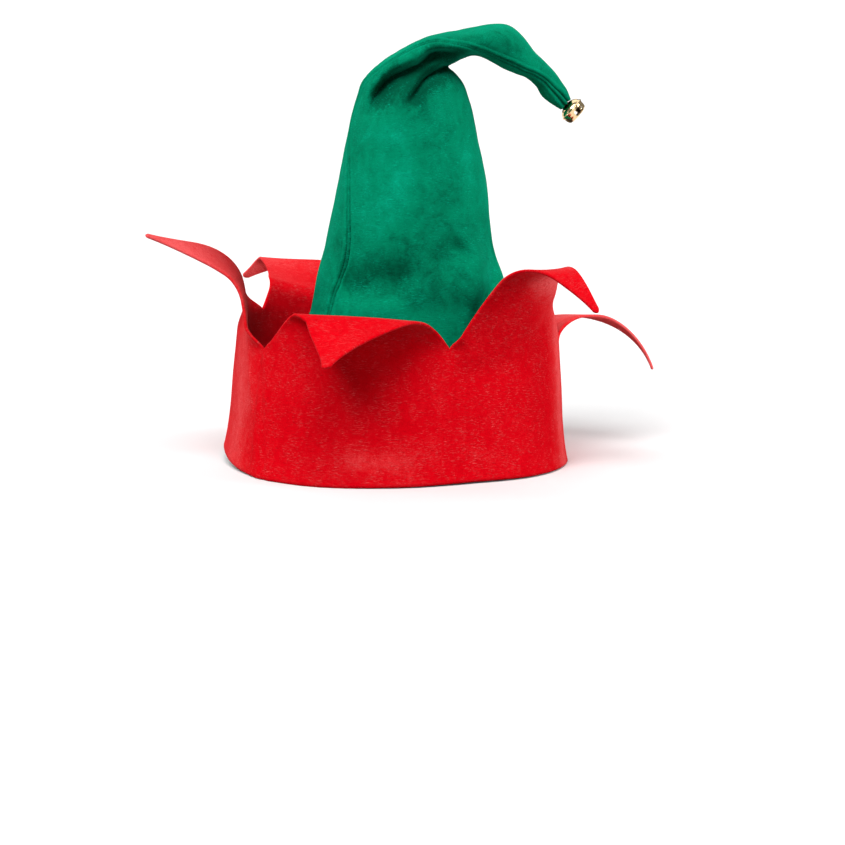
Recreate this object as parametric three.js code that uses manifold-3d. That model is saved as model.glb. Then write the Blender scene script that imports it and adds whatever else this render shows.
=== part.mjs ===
import * as THREE from "three";
import { mergeVertices } from "three/addons/utils/BufferGeometryUtils.js";
import Module from "manifold-3d";

// An elf hat of thin felt: a green peaked crown that bends over at the top and falls to one side, a red band
// round its foot whose upper edge is cut into five points, and a small brass bell sewn to the tip.
// Millimetres, +Z up. The origin is the centre of the head opening, on the plane on which the rim rests.
// Bearings are degrees round +Z, seen from above, counterclockwise from +Y, where the band's seam stands.
// The wearer looks along -Y.

// Driving sizes
const BAND_RADIUS = 86;
const BAND_HEIGHT = 66;
const POINT_LENGTH = 80;
const HAT_HEIGHT = 226;
const CROWN_REACH = 86;
const BAND_FELT = 1.5;
const CROWN_FELT = 1.4;
const TIP_FELT = 1.0;
const SEWN_GAP = 0.8;
const HEM_RISE = 0.8;
const FALL_BEARING = 144;
const BELL_DIAMETER = 12.8;
const BELL_WALL = 0.9;
const BELL_CRIMP = 0.6;
const BELL_DOME = 4;
const BELL_FOOT = 5;
const BELL_SQUARE = 0.45;
const BELL_TURN = 22.5;
const WINDOW_WIDTH = 5.6;
const WINDOW_HEIGHT = 3.2;
const WINDOW_CORNER = 0.9;
const SLOT_WIDTH = 1.2;
const SHANK_WIRE = 0.8;
const SHANK_EYE = 2;
const THREAD = 0.8;
const TOUCH_GAP = 0.3;
const BELL_TILT = 40;

// How finely the felt is divided
const POINT_COLUMNS = 12;
const POINT_ROWS = 13;
const CROWN_COLUMNS = 42;
const CROWN_ROWS = 35;
const BELL_COLUMNS = 16;
const BELL_ROWS = 8;

// The plan of the rim, every 30 degrees from PLAN_START.
// radius is a share of BAND_RADIUS, and lift, how far the soft edge stands off the table, of BAND_HEIGHT.
const PLAN_START = -36;
const PLAN = [
  { radius: 1.05, lift: 0.1 },
  { radius: 1.07, lift: 0.015 },
  { radius: 1.093, lift: 0 },
  { radius: 0.977, lift: 0.006 },
  { radius: 0.895, lift: 0.013 },
  { radius: 0.971, lift: 0.009 },
  { radius: 1.036, lift: 0 },
  { radius: 1.093, lift: 0 },
  { radius: 1.105, lift: 0 },
  { radius: 1.047, lift: 0 },
  { radius: 1.023, lift: 0 },
  { radius: 1.07, lift: 0.04 },
];

// The band's wall in profile. height is a share of the band's height at a notch, radius a share of the rim's.
const BAND_PROFILE = [
  { height: 0, radius: 1 },
  { height: 0.12, radius: 0.984 },
  { height: 0.3, radius: 0.968 },
  { height: 0.65, radius: 0.951 },
  { height: 0.88, radius: 0.937 },
  { height: 1, radius: 0.93 },
];

// The notches between the points. at is the share of the way round from the seam, height a share of
// BAND_HEIGHT.
const NOTCHES = [
  { at: 0.007, height: 0.97 },
  { at: 0.209, height: 1.042 },
  { at: 0.389, height: 0.962 },
  { at: 0.6, height: 1.015 },
  { at: 0.812, height: 1.098 },
];

// The points, each after the notch of the same row. length, lean (the tip's sideways offset), flat and, in
// the folds, at and reach are shares of POINT_LENGTH. A fold starts at the height at, over a length of reach,
// about a line tilted by tilt, and turns the felt outwards by turn degrees, more on one side than the other
// by the share twist. The felt keeps the band's curve at first, and is straight across from height flat on.
const POINTS = [
  {
    length: 0.88, lean: 0.144, flat: 1.2,
    folds: [
      { at: 0.113, tilt: 14.3, turn: 101, reach: 0.3, twist: -0.24 },
      { at: 0.2, tilt: -11, turn: 22, reach: 0.12, twist: -0.4 },
    ],
  },
  {
    length: 1.05, lean: -0.281, flat: 1.2,
    folds: [
      { at: -0.052, tilt: -39.3, turn: 19.2, reach: 0.14, twist: 0.856 },
      { at: 0.45, tilt: 3.6, turn: 64.5, reach: 0.315, twist: -1 },
    ],
  },
  {
    length: 0.987, lean: -0.233, flat: 0.414,
    folds: [
      { at: -0.114, tilt: 12.8, turn: 85.5, reach: 0.207, twist: -0.01 },
      { at: 0.263, tilt: -8.4, turn: 75.8, reach: 0.751, twist: -0.324 },
    ],
  },
  {
    length: 0.978, lean: 0.242, flat: 0.371,
    folds: [
      { at: -0.029, tilt: -13.6, turn: 62.5, reach: 0.129, twist: 0.359 },
      { at: 0.515, tilt: -30.3, turn: 92, reach: 0.095, twist: -0.129 },
    ],
  },
  {
    length: 1.067, lean: 0.358, flat: 0.15,
    folds: [
      { at: 0.096, tilt: -19.5, turn: 23.3, reach: 0.268, twist: 0.717 },
      { at: 0.158, tilt: 13.5, turn: 31.7, reach: 0.584, twist: 0.05 },
    ],
  },
];
const NOTCH_FADE = 0.12;
const BODY_FADE = 0.225;
const FLAT_INSET = 0.047;
const TWIST_SPAN = 0.5;
// A point's half width falls from its base to TIP_WIDTH with the share of its height left, to the power
// EDGE_CURVE. TIP_ROUNDING, a share of its length, rounds its end.
const TIP_WIDTH = 0.03;
const TIP_ROUNDING = 0.012;
const EDGE_CURVE = 1.4;

// The standing fold of the band beside its seam, as it has lain folded: its bearing at the notch line and at
// the rim, how far its edge stands out, a share of BAND_RADIUS, and how wide it is, in degrees.
const CREASE = { top: -6, rim: 7, out: 0.026, width: 7 };

// The crown's sections from the rim to the mouth at the tip, in the upright plane in which the peak falls.
// over and under are the two ends of a section: along, towards FALL_BEARING, a share of CROWN_REACH, and
// rise, a share of HAT_HEIGHT. depth is half the section's width across that plane, a share of CROWN_REACH.
// In the first IN_BAND_ROWS rows the crown is inside the band, and along and depth are shares of BAND_RADIUS.
// round goes from 0, where the crown lies against the band, to 1, where it stands free.
const IN_BAND_ROWS = 4;
const CROWN = [
  { over: [-1.02, 0], under: [1.02, 0], depth: 0.93, round: 0 },
  { over: [-0.99, 0.053], under: [0.99, 0.053], depth: 0.92, round: 0 },
  { over: [-0.955, 0.111], under: [0.94, 0.111], depth: 0.875, round: 0.08 },
  { over: [-0.905, 0.159], under: [0.9, 0.159], depth: 0.8, round: 0.35 },
  { over: [-0.835, 0.208], under: [0.85, 0.208], depth: 0.755, round: 0.85 },
  { over: [-0.729, 0.255], under: [0.785, 0.255], depth: 0.7, round: 1 },
  { over: [-0.628, 0.295], under: [0.724, 0.295], depth: 0.66, round: 1 },
  { over: [-0.547, 0.33], under: [0.674, 0.327], depth: 0.634, round: 1 },
  { over: [-0.518, 0.369], under: [0.643, 0.365], depth: 0.61, round: 1 },
  { over: [-0.496, 0.426], under: [0.622, 0.426], depth: 0.593, round: 1 },
  { over: [-0.455, 0.492], under: [0.564, 0.487], depth: 0.57, round: 1 },
  { over: [-0.422, 0.561], under: [0.532, 0.556], depth: 0.547, round: 1 },
  { over: [-0.383, 0.639], under: [0.507, 0.639], depth: 0.517, round: 1 },
  { over: [-0.347, 0.717], under: [0.464, 0.718], depth: 0.477, round: 1 },
  { over: [-0.313, 0.786], under: [0.424, 0.783], depth: 0.442, round: 1 },
  { over: [-0.27, 0.841], under: [0.39, 0.834], depth: 0.413, round: 1 },
  { over: [-0.244, 0.874], under: [0.352, 0.872], depth: 0.4, round: 1 },
  { over: [-0.19, 0.901], under: [0.304, 0.897], depth: 0.39, round: 1 },
  { over: [-0.105, 0.929], under: [0.262, 0.91], depth: 0.378, round: 1 },
  { over: [-0.012, 0.953], under: [0.257, 0.918], depth: 0.365, round: 1 },
  { over: [0.078, 0.972], under: [0.275, 0.923], depth: 0.35, round: 1 },
  { over: [0.181, 0.986], under: [0.301, 0.928], depth: 0.333, round: 1 },
  { over: [0.301, 0.995], under: [0.343, 0.938], depth: 0.315, round: 1 },
  { over: [0.422, 1.004], under: [0.4, 0.945], depth: 0.296, round: 1 },
  { over: [0.53, 1.011], under: [0.473, 0.941], depth: 0.273, round: 1 },
  { over: [0.625, 1.008], under: [0.539, 0.928], depth: 0.25, round: 1 },
  { over: [0.703, 0.986], under: [0.596, 0.917], depth: 0.221, round: 1 },
  { over: [0.77, 0.953], under: [0.667, 0.905], depth: 0.192, round: 1 },
  { over: [0.83, 0.931], under: [0.733, 0.896], depth: 0.163, round: 1 },
  { over: [0.891, 0.91], under: [0.797, 0.876], depth: 0.134, round: 1 },
  { over: [0.938, 0.888], under: [0.834, 0.854], depth: 0.105, round: 1 },
  { over: [0.975, 0.869], under: [0.883, 0.839], depth: 0.079, round: 1 },
  { over: [0.998, 0.848], under: [0.949, 0.824], depth: 0.051, round: 1 },
];

// Dents and folds of the crown. row and rows are the middle and the half extent along the table above, turn
// and turns the same in degrees round the section, with 90 at the front of the fall's right-hand side. slant
// leans the dent, in degrees a row, and depth, a share of CROWN_REACH, is positive inwards.
const DENTS = [
  { row: 18.2, rows: 3.4, turn: 112, turns: 17, slant: -9, depth: 0.075 },
  { row: 18.6, rows: 2.2, turn: 58, turns: 13, slant: -8, depth: 0.06 },
  { row: 18, rows: 3, turn: 250, turns: 24, slant: 8, depth: 0.06 },
  { row: 10.2, rows: 1.5, turn: 122, turns: 20, slant: 6, depth: 0.03 },
  { row: 8.6, rows: 2.6, turn: 38, turns: 9, slant: 2, depth: 0.025 },
  { row: 11, rows: 3.5, turn: 262, turns: 26, slant: 4, depth: 0.035 },
  { row: 29.5, rows: 0.9, turn: 60, turns: 50, slant: 0, depth: 0.012 },
];

const RED_FELT = new THREE.MeshStandardMaterial({ color: 0xc8101f, roughness: 0.95, metalness: 0 });
const GREEN_FELT = new THREE.MeshStandardMaterial({ color: 0x007a55, roughness: 0.95, metalness: 0 });
const BRASS = new THREE.MeshStandardMaterial({ color: 0xc9a23c, roughness: 0.22, metalness: 1 });
const GREEN_THREAD = new THREE.MeshStandardMaterial({ color: 0x00694a, roughness: 0.9, metalness: 0 });

const radians = (degrees) => (degrees * Math.PI) / 180;
const mix = (a, b, share) => a + (b - a) * share;
const clamp = (value, low, high) => Math.min(Math.max(value, low), high);
const ease = (value) => {
  const x = clamp(value, 0, 1);
  return x * x * (3 - 2 * x);
};

// A smooth curve through four neighbouring values.
function spline(a, b, c, d, f) {
  return b + 0.5 * f * (c - a + f * (2 * a - 5 * b + 4 * c - d + f * (3 * (b - c) + d - a)));
}

// A table's column read at a place between its rows, the table taken as closed on itself.
function roundTable(rows, column, place) {
  const n = rows.length;
  const at = ((place % n) + n) % n;
  const i = Math.floor(at);
  const value = (k) => rows[(i + k + n) % n][column];
  return spline(value(-1), value(0), value(1), value(2), at - i);
}

// A table's column, or a function of its rows, read at a place between its rows, from end to end.
function openTable(rows, read, place) {
  const last = rows.length - 1;
  const at = clamp(place, 0, last);
  const i = Math.min(Math.floor(at), last - 1);
  const value = (k) => read(rows[clamp(i + k, 0, last)]);
  return spline(value(-1), value(0), value(1), value(2), at - i);
}

// The band's plan
const rimRadius = (bearing) => BAND_RADIUS * roundTable(PLAN, "radius", (bearing - PLAN_START) / 30);
const rimLift = (bearing) => BAND_HEIGHT * Math.max(roundTable(PLAN, "lift", (bearing - PLAN_START) / 30), 0);
const direction = (bearing) => [-Math.sin(radians(bearing)), Math.cos(radians(bearing))];

function bandProfile(height) {
  const h = clamp(height, 0, 1);
  const i = clamp(BAND_PROFILE.findIndex((row) => row.height > h) - 1, 0, BAND_PROFILE.length - 2);
  const low = h >= 1 ? BAND_PROFILE.length - 2 : i;
  const a = BAND_PROFILE[low];
  const b = BAND_PROFILE[low + 1];
  return mix(a.radius, b.radius, (h - a.height) / (b.height - a.height));
}

// The plan at the height of the notches, measured round by length, so that the points are evenly wide.
const NOTCH_RADIUS = bandProfile(1);
const ROUND_STEPS = 720;
const roundLength = [0];
for (let i = 1; i <= ROUND_STEPS; i += 1) {
  const place = (step) => {
    const bearing = (360 * step) / ROUND_STEPS;
    const way = direction(bearing);
    const r = rimRadius(bearing) * NOTCH_RADIUS;
    return [way[0] * r, way[1] * r];
  };
  const a = place(i - 1);
  const b = place(i);
  roundLength.push(roundLength[i - 1] + Math.hypot(b[0] - a[0], b[1] - a[1]));
}
const ROUND = roundLength[ROUND_STEPS];

function bearingAt(share) {
  const turns = Math.floor(share);
  const length = (share - turns) * ROUND;
  let low = 0;
  let high = ROUND_STEPS;
  while (high - low > 1) {
    const middle = (low + high) >> 1;
    if (roundLength[middle] <= length) low = middle;
    else high = middle;
  }
  const f = (length - roundLength[low]) / (roundLength[high] - roundLength[low]);
  return ((low + f) * 360) / ROUND_STEPS + 360 * turns;
}

// A place on the plan, with its direction onwards and outwards.
function ring(share) {
  const bearing = bearingAt(share);
  const place = (b) => {
    const way = direction(b);
    const r = rimRadius(b) * NOTCH_RADIUS;
    return [way[0] * r, way[1] * r];
  };
  const p = place(bearing);
  const before = place(bearing - 0.5);
  const after = place(bearing + 0.5);
  const length = Math.hypot(after[0] - before[0], after[1] - before[1]);
  const onward = [(after[0] - before[0]) / length, (after[1] - before[1]) / length];
  return { bearing, p, onward, outward: [onward[1], -onward[0]] };
}

// How far the standing fold carries the band outwards at a bearing and a share of the band's height.
function crease(bearing, share) {
  const off = ((bearing - mix(CREASE.rim, CREASE.top, share) + 540) % 360) - 180;
  return CREASE.out * BAND_RADIUS * Math.exp(-Math.abs(off) / CREASE.width);
}

// Rolls a place of the flat felt, [sideways, up, out], about a fold. flat is where it lay before any fold.
function fold(place, flat, row) {
  const c = Math.cos(radians(row.tilt));
  const s = Math.sin(radians(row.tilt));
  const at = row.at * POINT_LENGTH;
  const reach = row.reach * POINT_LENGTH;
  const past = flat[1] * c + flat[0] * s;
  const along = flat[0] * c - flat[1] * s;
  const full = radians(row.turn) * (1 + row.twist * Math.tanh(along / (TWIST_SPAN * POINT_LENGTH)));
  const turn = Math.abs(full) < 1e-4 ? 1e-4 : full;
  const share = Math.max((past - at) / reach, 0);
  const angle = turn * Math.min(share, 1);
  const radius = reach / turn;
  const rest = Math.max(past - at - reach, 0);
  const base = past > at ? at + radius * Math.sin(angle) : past;
  const up = base + rest * Math.cos(angle);
  const out = radius * (1 - Math.cos(angle)) + rest * Math.sin(angle);
  const offUp = place[1] * c + place[0] * s - past;
  const side = place[0] * c - place[1] * s;
  const newUp = up + offUp * Math.cos(angle) - place[2] * Math.sin(angle);
  const newOut = out + offUp * Math.sin(angle) + place[2] * Math.cos(angle);
  return [newUp * s + side * c, newUp * c - side * s, newOut];
}

// A place of the band or of a point: sideways from the point's middle and up from the notch line, in the flat
// felt.
function feltPlace(k, sideways, up) {
  const here = NOTCHES[k];
  const next = NOTCHES[(k + 1) % NOTCHES.length];
  const end = next.at + (k === NOTCHES.length - 1 ? 1 : 0);
  const middle = (here.at + end) / 2;
  const half = ((end - here.at) / 2) * ROUND;
  const point = POINTS[k];
  const above = Math.max(up, 0);
  const flat = [sideways + point.lean * above, up, 0];
  let place = flat;
  for (const row of [...point.folds].reverse()) place = fold(place, flat, row);
  const fromNotch = Math.hypot(Math.max(half - Math.abs(sideways), 0), above);
  const kept = ease(fromNotch / (NOTCH_FADE * POINT_LENGTH)) * ease(1 + up / (BODY_FADE * POINT_LENGTH));
  place = flat.map((value, i) => mix(value, place[i], kept));
  const notchLine = mix(here.height, next.height, clamp(sideways / half, -1, 1) / 2 + 0.5) * BAND_HEIGHT;
  const curved = ring(middle + place[0] / ROUND);
  const level = ring(middle);
  const stiff = ease(up / (point.flat * POINT_LENGTH));
  const share = clamp(1 + up / notchLine, 0, 1);
  const swell = bandProfile(share) / NOTCH_RADIUS;
  const inset = FLAT_INSET * BAND_RADIUS;
  const xy = [0, 1].map((i) => {
    const bent = curved.p[i] * swell + curved.outward[i] * (place[2] + crease(curved.bearing, share));
    const straight = level.p[i] + level.onward[i] * place[0] + level.outward[i] * (place[2] - inset);
    return mix(bent, straight, stiff);
  });
  const lift = rimLift(curved.bearing) * (1 - share);
  return [xy[0], xy[1], notchLine + place[1] + lift];
}

// A sheet of felt grown into a solid wall. places are its middle surface, faces its triangles, seen from
// outside. level marks the places whose offset stays horizontal, and thickness gives the wall at each place.
function wall(places, faces, thickness, level) {
  const normals = places.map(() => new THREE.Vector3());
  const corners = places.map((p) => new THREE.Vector3(...p));
  for (const [a, b, c] of faces) {
    const n = corners[b].clone().sub(corners[a]).cross(corners[c].clone().sub(corners[a]));
    for (const i of [a, b, c]) normals[i].add(n);
  }
  const count = places.length;
  const position = new Float32Array(count * 6);
  normals.forEach((n, i) => {
    if (level(i)) n.z = 0;
    n.normalize().multiplyScalar(thickness(i) / 2);
    corners[i].clone().add(n).toArray(position, i * 3);
    corners[i].clone().sub(n).toArray(position, (count + i) * 3);
  });
  const index = [];
  const edges = new Map();
  for (const [a, b, c] of faces) {
    index.push(a, b, c, count + a, count + c, count + b);
    for (const [from, to] of [[a, b], [b, c], [c, a]]) {
      const twin = `${to}/${from}`;
      if (edges.has(twin)) edges.delete(twin);
      else edges.set(`${from}/${to}`, [from, to]);
    }
  }
  for (const [from, to] of edges.values()) index.push(to, from, count + from, to, count + from, count + to);
  const geometry = new THREE.BufferGeometry();
  geometry.setAttribute("position", new THREE.BufferAttribute(position, 3));
  geometry.setIndex(index);
  return geometry;
}

function bandGeometry() {
  const places = [];
  const faces = [];
  const level = new Set();
  const around = POINT_COLUMNS * NOTCHES.length;
  const bodyRows = BAND_PROFILE.length;
  const halfOf = (k) => {
    const end = NOTCHES[(k + 1) % NOTCHES.length].at + (k === NOTCHES.length - 1 ? 1 : 0);
    return ((end - NOTCHES[k].at) / 2) * ROUND;
  };
  const quad = (a, b, c, d) => faces.push([a, b, c], [a, c, d]);
  for (let row = 0; row < bodyRows; row += 1) {
    for (let column = 0; column < around; column += 1) {
      const k = Math.floor(column / POINT_COLUMNS);
      const side = ((column % POINT_COLUMNS) / POINT_COLUMNS) * 2 - 1;
      const next = NOTCHES[(k + 1) % NOTCHES.length];
      const line = mix(NOTCHES[k].height, next.height, side / 2 + 0.5) * BAND_HEIGHT;
      if (row === 0) level.add(places.length);
      places.push(feltPlace(k, side * halfOf(k), (BAND_PROFILE[row].height - 1) * line));
    }
  }
  for (let row = 0; row < bodyRows - 1; row += 1) {
    for (let column = 0; column < around; column += 1) {
      const next = (column + 1) % around;
      const low = row * around;
      const high = (row + 1) * around;
      quad(low + column, low + next, high + next, high + column);
    }
  }
  const top = (bodyRows - 1) * around;
  POINTS.forEach((point, k) => {
    let below = [];
    for (let i = 0; i <= POINT_COLUMNS; i += 1) below.push(top + ((k * POINT_COLUMNS + i) % around));
    for (let row = 1; row <= POINT_ROWS; row += 1) {
      const share = row / POINT_ROWS;
      const width = mix(TIP_WIDTH, 1, (1 - share) ** EDGE_CURVE) * halfOf(k);
      const here = [];
      for (let i = 0; i <= POINT_COLUMNS; i += 1) {
        const side = (i / POINT_COLUMNS) * 2 - 1;
        const rounding = row === POINT_ROWS ? 1 - TIP_ROUNDING * side * side : 1;
        here.push(places.length);
        places.push(feltPlace(k, side * width, share * rounding * point.length * POINT_LENGTH));
      }
      for (let i = 0; i < POINT_COLUMNS; i += 1) quad(below[i], below[i + 1], here[i + 1], here[i]);
      below = here;
    }
  });
  return wall(places, faces, () => BAND_FELT, (i) => level.has(i));
}

// The two upright directions of the crown: along the fall of the peak, and across it.
const ALONG = direction(FALL_BEARING);
const ACROSS = direction(FALL_BEARING - 90);

const crownInset = BAND_FELT / 2 + SEWN_GAP + CROWN_FELT / 2;

// A place on the crown's middle surface: place counts rows of the table, turn goes round in degrees.
function crownPlace(place, turn) {
  const read = (end, axis) => openTable(CROWN, (row) => row[end][axis], place);
  const reach = mix(BAND_RADIUS, CROWN_REACH, ease((place - IN_BAND_ROWS) / IN_BAND_ROWS));
  const over = [read("over", 0) * reach, read("over", 1) * HAT_HEIGHT];
  const under = [read("under", 0) * reach, read("under", 1) * HAT_HEIGHT];
  const depth = openTable(CROWN, (row) => row.depth, place) * reach;
  const round = clamp(openTable(CROWN, (row) => row.round, place), 0, 1);
  const c = Math.cos(radians(turn));
  const s = Math.sin(radians(turn));
  const along = mix(over[0], under[0], 0.5 + c / 2);
  const rise = mix(over[1], under[1], 0.5 + c / 2);
  const free = [ALONG[0] * along + ACROSS[0] * depth * s, ALONG[1] * along + ACROSS[1] * depth * s];
  const bearing = FALL_BEARING - turn;
  const radius = rimRadius(bearing) * bandProfile(rise / BAND_HEIGHT) - crownInset;
  const way = direction(bearing);
  const xy = [0, 1].map((i) => mix(way[i] * radius, free[i], round));
  const lift = rimLift(bearing) * clamp(1 - rise / BAND_HEIGHT, 0, 1);
  return new THREE.Vector3(xy[0], xy[1], HEM_RISE + rise * (1 - HEM_RISE / HAT_HEIGHT) + lift);
}

// The same, pressed in by the dents.
function dentedPlace(place, turn) {
  const p = crownPlace(place, turn);
  const step = 0.05;
  const up = crownPlace(place + step, turn).sub(crownPlace(place - step, turn));
  const on = crownPlace(place, turn + 1).sub(crownPlace(place, turn - 1));
  const outward = up.cross(on).normalize();
  let depth = 0;
  for (const dent of DENTS) {
    const row = (place - dent.row) / dent.rows;
    const off = turn - dent.turn - dent.slant * (place - dent.row);
    const side = (((off + 180) % 360 + 360) % 360 - 180) / dent.turns;
    depth += dent.depth * Math.exp(-row * row - side * side);
  }
  return p.addScaledVector(outward, -depth * CROWN_REACH);
}

function crownGeometry() {
  const places = [];
  const faces = [];
  for (let row = 0; row <= CROWN_ROWS; row += 1) {
    const place = (row / CROWN_ROWS) * (CROWN.length - 1);
    for (let column = 0; column < CROWN_COLUMNS; column += 1) {
      places.push(dentedPlace(place, (-360 * column) / CROWN_COLUMNS).toArray());
    }
  }
  for (let row = 0; row < CROWN_ROWS; row += 1) {
    for (let column = 0; column < CROWN_COLUMNS; column += 1) {
      const next = (column + 1) % CROWN_COLUMNS;
      const a = row * CROWN_COLUMNS + column;
      const b = row * CROWN_COLUMNS + next;
      const c = (row + 1) * CROWN_COLUMNS + next;
      const d = (row + 1) * CROWN_COLUMNS + column;
      faces.push([a, b, c], [a, c, d]);
    }
  }
  const felt = (i) => {
    const share = Math.floor(i / CROWN_COLUMNS) / CROWN_ROWS;
    return mix(CROWN_FELT, TIP_FELT, ease((share - 0.8) / 0.2));
  };
  return wall(places, faces, felt, (i) => i < CROWN_COLUMNS);
}

// The bell hangs out of the mouth at the tip, along the line of the peak's end.
const mouth = CROWN[CROWN.length - 1];
const mouthOver = [mouth.over[0] * CROWN_REACH, mouth.over[1] * HAT_HEIGHT];
const mouthUnder = [mouth.under[0] * CROWN_REACH, mouth.under[1] * HAT_HEIGHT];
const mouthHalf = Math.hypot(mouthOver[0] - mouthUnder[0], mouthOver[1] - mouthUnder[1]) / 2;
const mouthDepth = mouth.depth * CROWN_REACH;
const bellRadius = BELL_DIAMETER / 2;
const mouthMiddle = [(mouthOver[0] + mouthUnder[0]) / 2, (mouthOver[1] + mouthUnder[1]) / 2];
// The mouth's edge, its felt's thickness in, keeps clear of the dome.
const mouthEdge = Math.min(mouthHalf, mouthDepth) - TIP_FELT / 2;
const domeShare = Math.sqrt(Math.max(1 - (mouthEdge / (bellRadius + TOUCH_GAP)) ** 2, 0));
const bellBelow = (BELL_DOME + TOUCH_GAP) * domeShare + TIP_FELT / 2;
const bellAxis = [Math.cos(radians(BELL_TILT)), -Math.sin(radians(BELL_TILT))];
const bellMiddle = [mouthMiddle[0] + bellAxis[0] * bellBelow, mouthMiddle[1] + bellAxis[1] * bellBelow];

const wasm = await Module();
wasm.setup();

function solidOf(geometry) {
  const bare = geometry.clone();
  bare.deleteAttribute("normal");
  bare.deleteAttribute("uv");
  const merged = mergeVertices(bare, 1e-5);
  const position = new Float32Array(merged.attributes.position.array);
  const index = new Uint32Array(merged.index.array);
  return new wasm.Manifold(new wasm.Mesh({ numProp: 3, vertProperties: position, triVerts: index }));
}

function geometryOf(solid) {
  const mesh = solid.getMesh();
  const geometry = new THREE.BufferGeometry();
  geometry.setAttribute("position", new THREE.BufferAttribute(new Float32Array(mesh.vertProperties), 3));
  geometry.setIndex(new THREE.BufferAttribute(new Uint32Array(mesh.triVerts), 1));
  return geometry;
}

// Half the outline of the bell or its hollow, from pole to pole, inset by a wall's thickness: a round dome
// above the joint, and a squarer cup below it.
function cupOutline(inset) {
  const outline = [];
  for (let i = 0; i <= BELL_ROWS; i += 1) {
    const angle = -Math.PI / 2 + (Math.PI * i) / BELL_ROWS;
    const power = i < BELL_ROWS / 2 ? BELL_SQUARE : 1;
    const height = i < BELL_ROWS / 2 ? BELL_FOOT : BELL_DOME;
    const out = i === 0 || i === BELL_ROWS ? 0 : Math.cos(angle) ** power;
    const up = Math.sign(angle) * Math.abs(Math.sin(angle)) ** power;
    outline.push(new THREE.Vector2(out * (bellRadius - inset), up * (height - inset)));
  }
  return outline;
}

// The bell in its own frame, its axis along +Y: the shank at the top, four windows round the cup and two
// slots that cross its foot from window to window.
function bellGeometry() {
  const profile = cupOutline(0);
  profile.splice(
    (profile.length - 1) / 2, 1,
    new THREE.Vector2(bellRadius, -BELL_CRIMP),
    new THREE.Vector2(bellRadius + BELL_CRIMP, -BELL_CRIMP / 2),
    new THREE.Vector2(bellRadius + BELL_CRIMP, BELL_CRIMP / 2),
    new THREE.Vector2(bellRadius, BELL_CRIMP),
  );
  const shell = solidOf(new THREE.LatheGeometry(profile, BELL_COLUMNS));
  const hollow = solidOf(new THREE.LatheGeometry(cupOutline(BELL_WALL), BELL_COLUMNS));
  let body = shell.subtract(hollow);
  for (let k = 0; k < 2; k += 1) {
    const slot = new THREE.BoxGeometry(bellRadius * 1.4, BELL_FOOT, SLOT_WIDTH);
    slot.translate(0, -BELL_FOOT, 0);
    slot.rotateY(radians(BELL_TURN + 90 * k));
    body = body.subtract(solidOf(slot));
  }
  for (let k = 0; k < 4; k += 1) {
    const settings = { depth: bellRadius, bevelEnabled: false, curveSegments: 1 };
    const frame = new THREE.ExtrudeGeometry(windowShape(), settings);
    frame.translate(0, 0, bellRadius * 0.6);
    frame.rotateY(radians(BELL_TURN + 90 * k));
    body = body.subtract(solidOf(frame));
  }
  const loop = new THREE.TorusGeometry((SHANK_EYE + SHANK_WIRE) / 2, SHANK_WIRE / 2, 6, 14);
  loop.translate(0, BELL_DOME + SHANK_EYE / 2 + SHANK_WIRE * 0.1, 0);
  return geometryOf(body.add(solidOf(loop)));
}

// A window's outline, a rounded rectangle midway between the joint and the foot.
function windowShape() {
  const middle = -(BELL_CRIMP + BELL_FOOT) / 2;
  const half = WINDOW_WIDTH / 2 - WINDOW_CORNER;
  const low = middle - WINDOW_HEIGHT / 2 + WINDOW_CORNER;
  const high = middle + WINDOW_HEIGHT / 2 - WINDOW_CORNER;
  const shape = new THREE.Shape();
  shape.absarc(half, low, WINDOW_CORNER, -Math.PI / 2, 0);
  shape.absarc(half, high, WINDOW_CORNER, 0, Math.PI / 2);
  shape.absarc(-half, high, WINDOW_CORNER, Math.PI / 2, Math.PI);
  shape.absarc(-half, low, WINDOW_CORNER, Math.PI, Math.PI * 1.5);
  return shape;
}

// Stands a piece of the bell, modelled along +Y, on the bell's axis: its top back up the peak.
function seatBell(mesh, lift) {
  const up = new THREE.Vector3(-ALONG[0] * bellAxis[0], -ALONG[1] * bellAxis[0], -bellAxis[1]);
  const across = new THREE.Vector3(ACROSS[0], ACROSS[1], 0);
  const side = new THREE.Vector3().crossVectors(up, across);
  mesh.quaternion.setFromRotationMatrix(new THREE.Matrix4().makeBasis(side, up, across));
  const base = new THREE.Vector3(ALONG[0] * bellMiddle[0], ALONG[1] * bellMiddle[0], bellMiddle[1]);
  mesh.position.copy(base.addScaledVector(up, lift));
  return mesh;
}

const hat = new THREE.Group();

const crown = new THREE.Mesh(crownGeometry(), GREEN_FELT);
crown.name = "crown";
hat.add(crown);

const band = new THREE.Mesh(bandGeometry(), RED_FELT);
band.name = "band";
hat.add(band);

const bell = new THREE.Mesh(bellGeometry(), BRASS);
bell.name = "bell";
hat.add(seatBell(bell, 0));

// The thread passes through the shank's eye and across the mouth, from felt to felt.
const eyeLift = BELL_DOME + SHANK_EYE / 2 + SHANK_WIRE * 0.1;
const threadHalf = mouthDepth - TIP_FELT / 2 - TOUCH_GAP;
const threadBar = new THREE.CylinderGeometry(THREAD / 2, THREAD / 2, 2 * threadHalf, 8);
threadBar.rotateX(Math.PI / 2);
const bellThread = new THREE.Mesh(threadBar, GREEN_THREAD);
bellThread.name = "bell_thread";
hat.add(seatBell(bellThread, eyeLift));

export default hat;
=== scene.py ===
import math

import bmesh
import bpy
import numpy as np
from mathutils import Matrix


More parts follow.
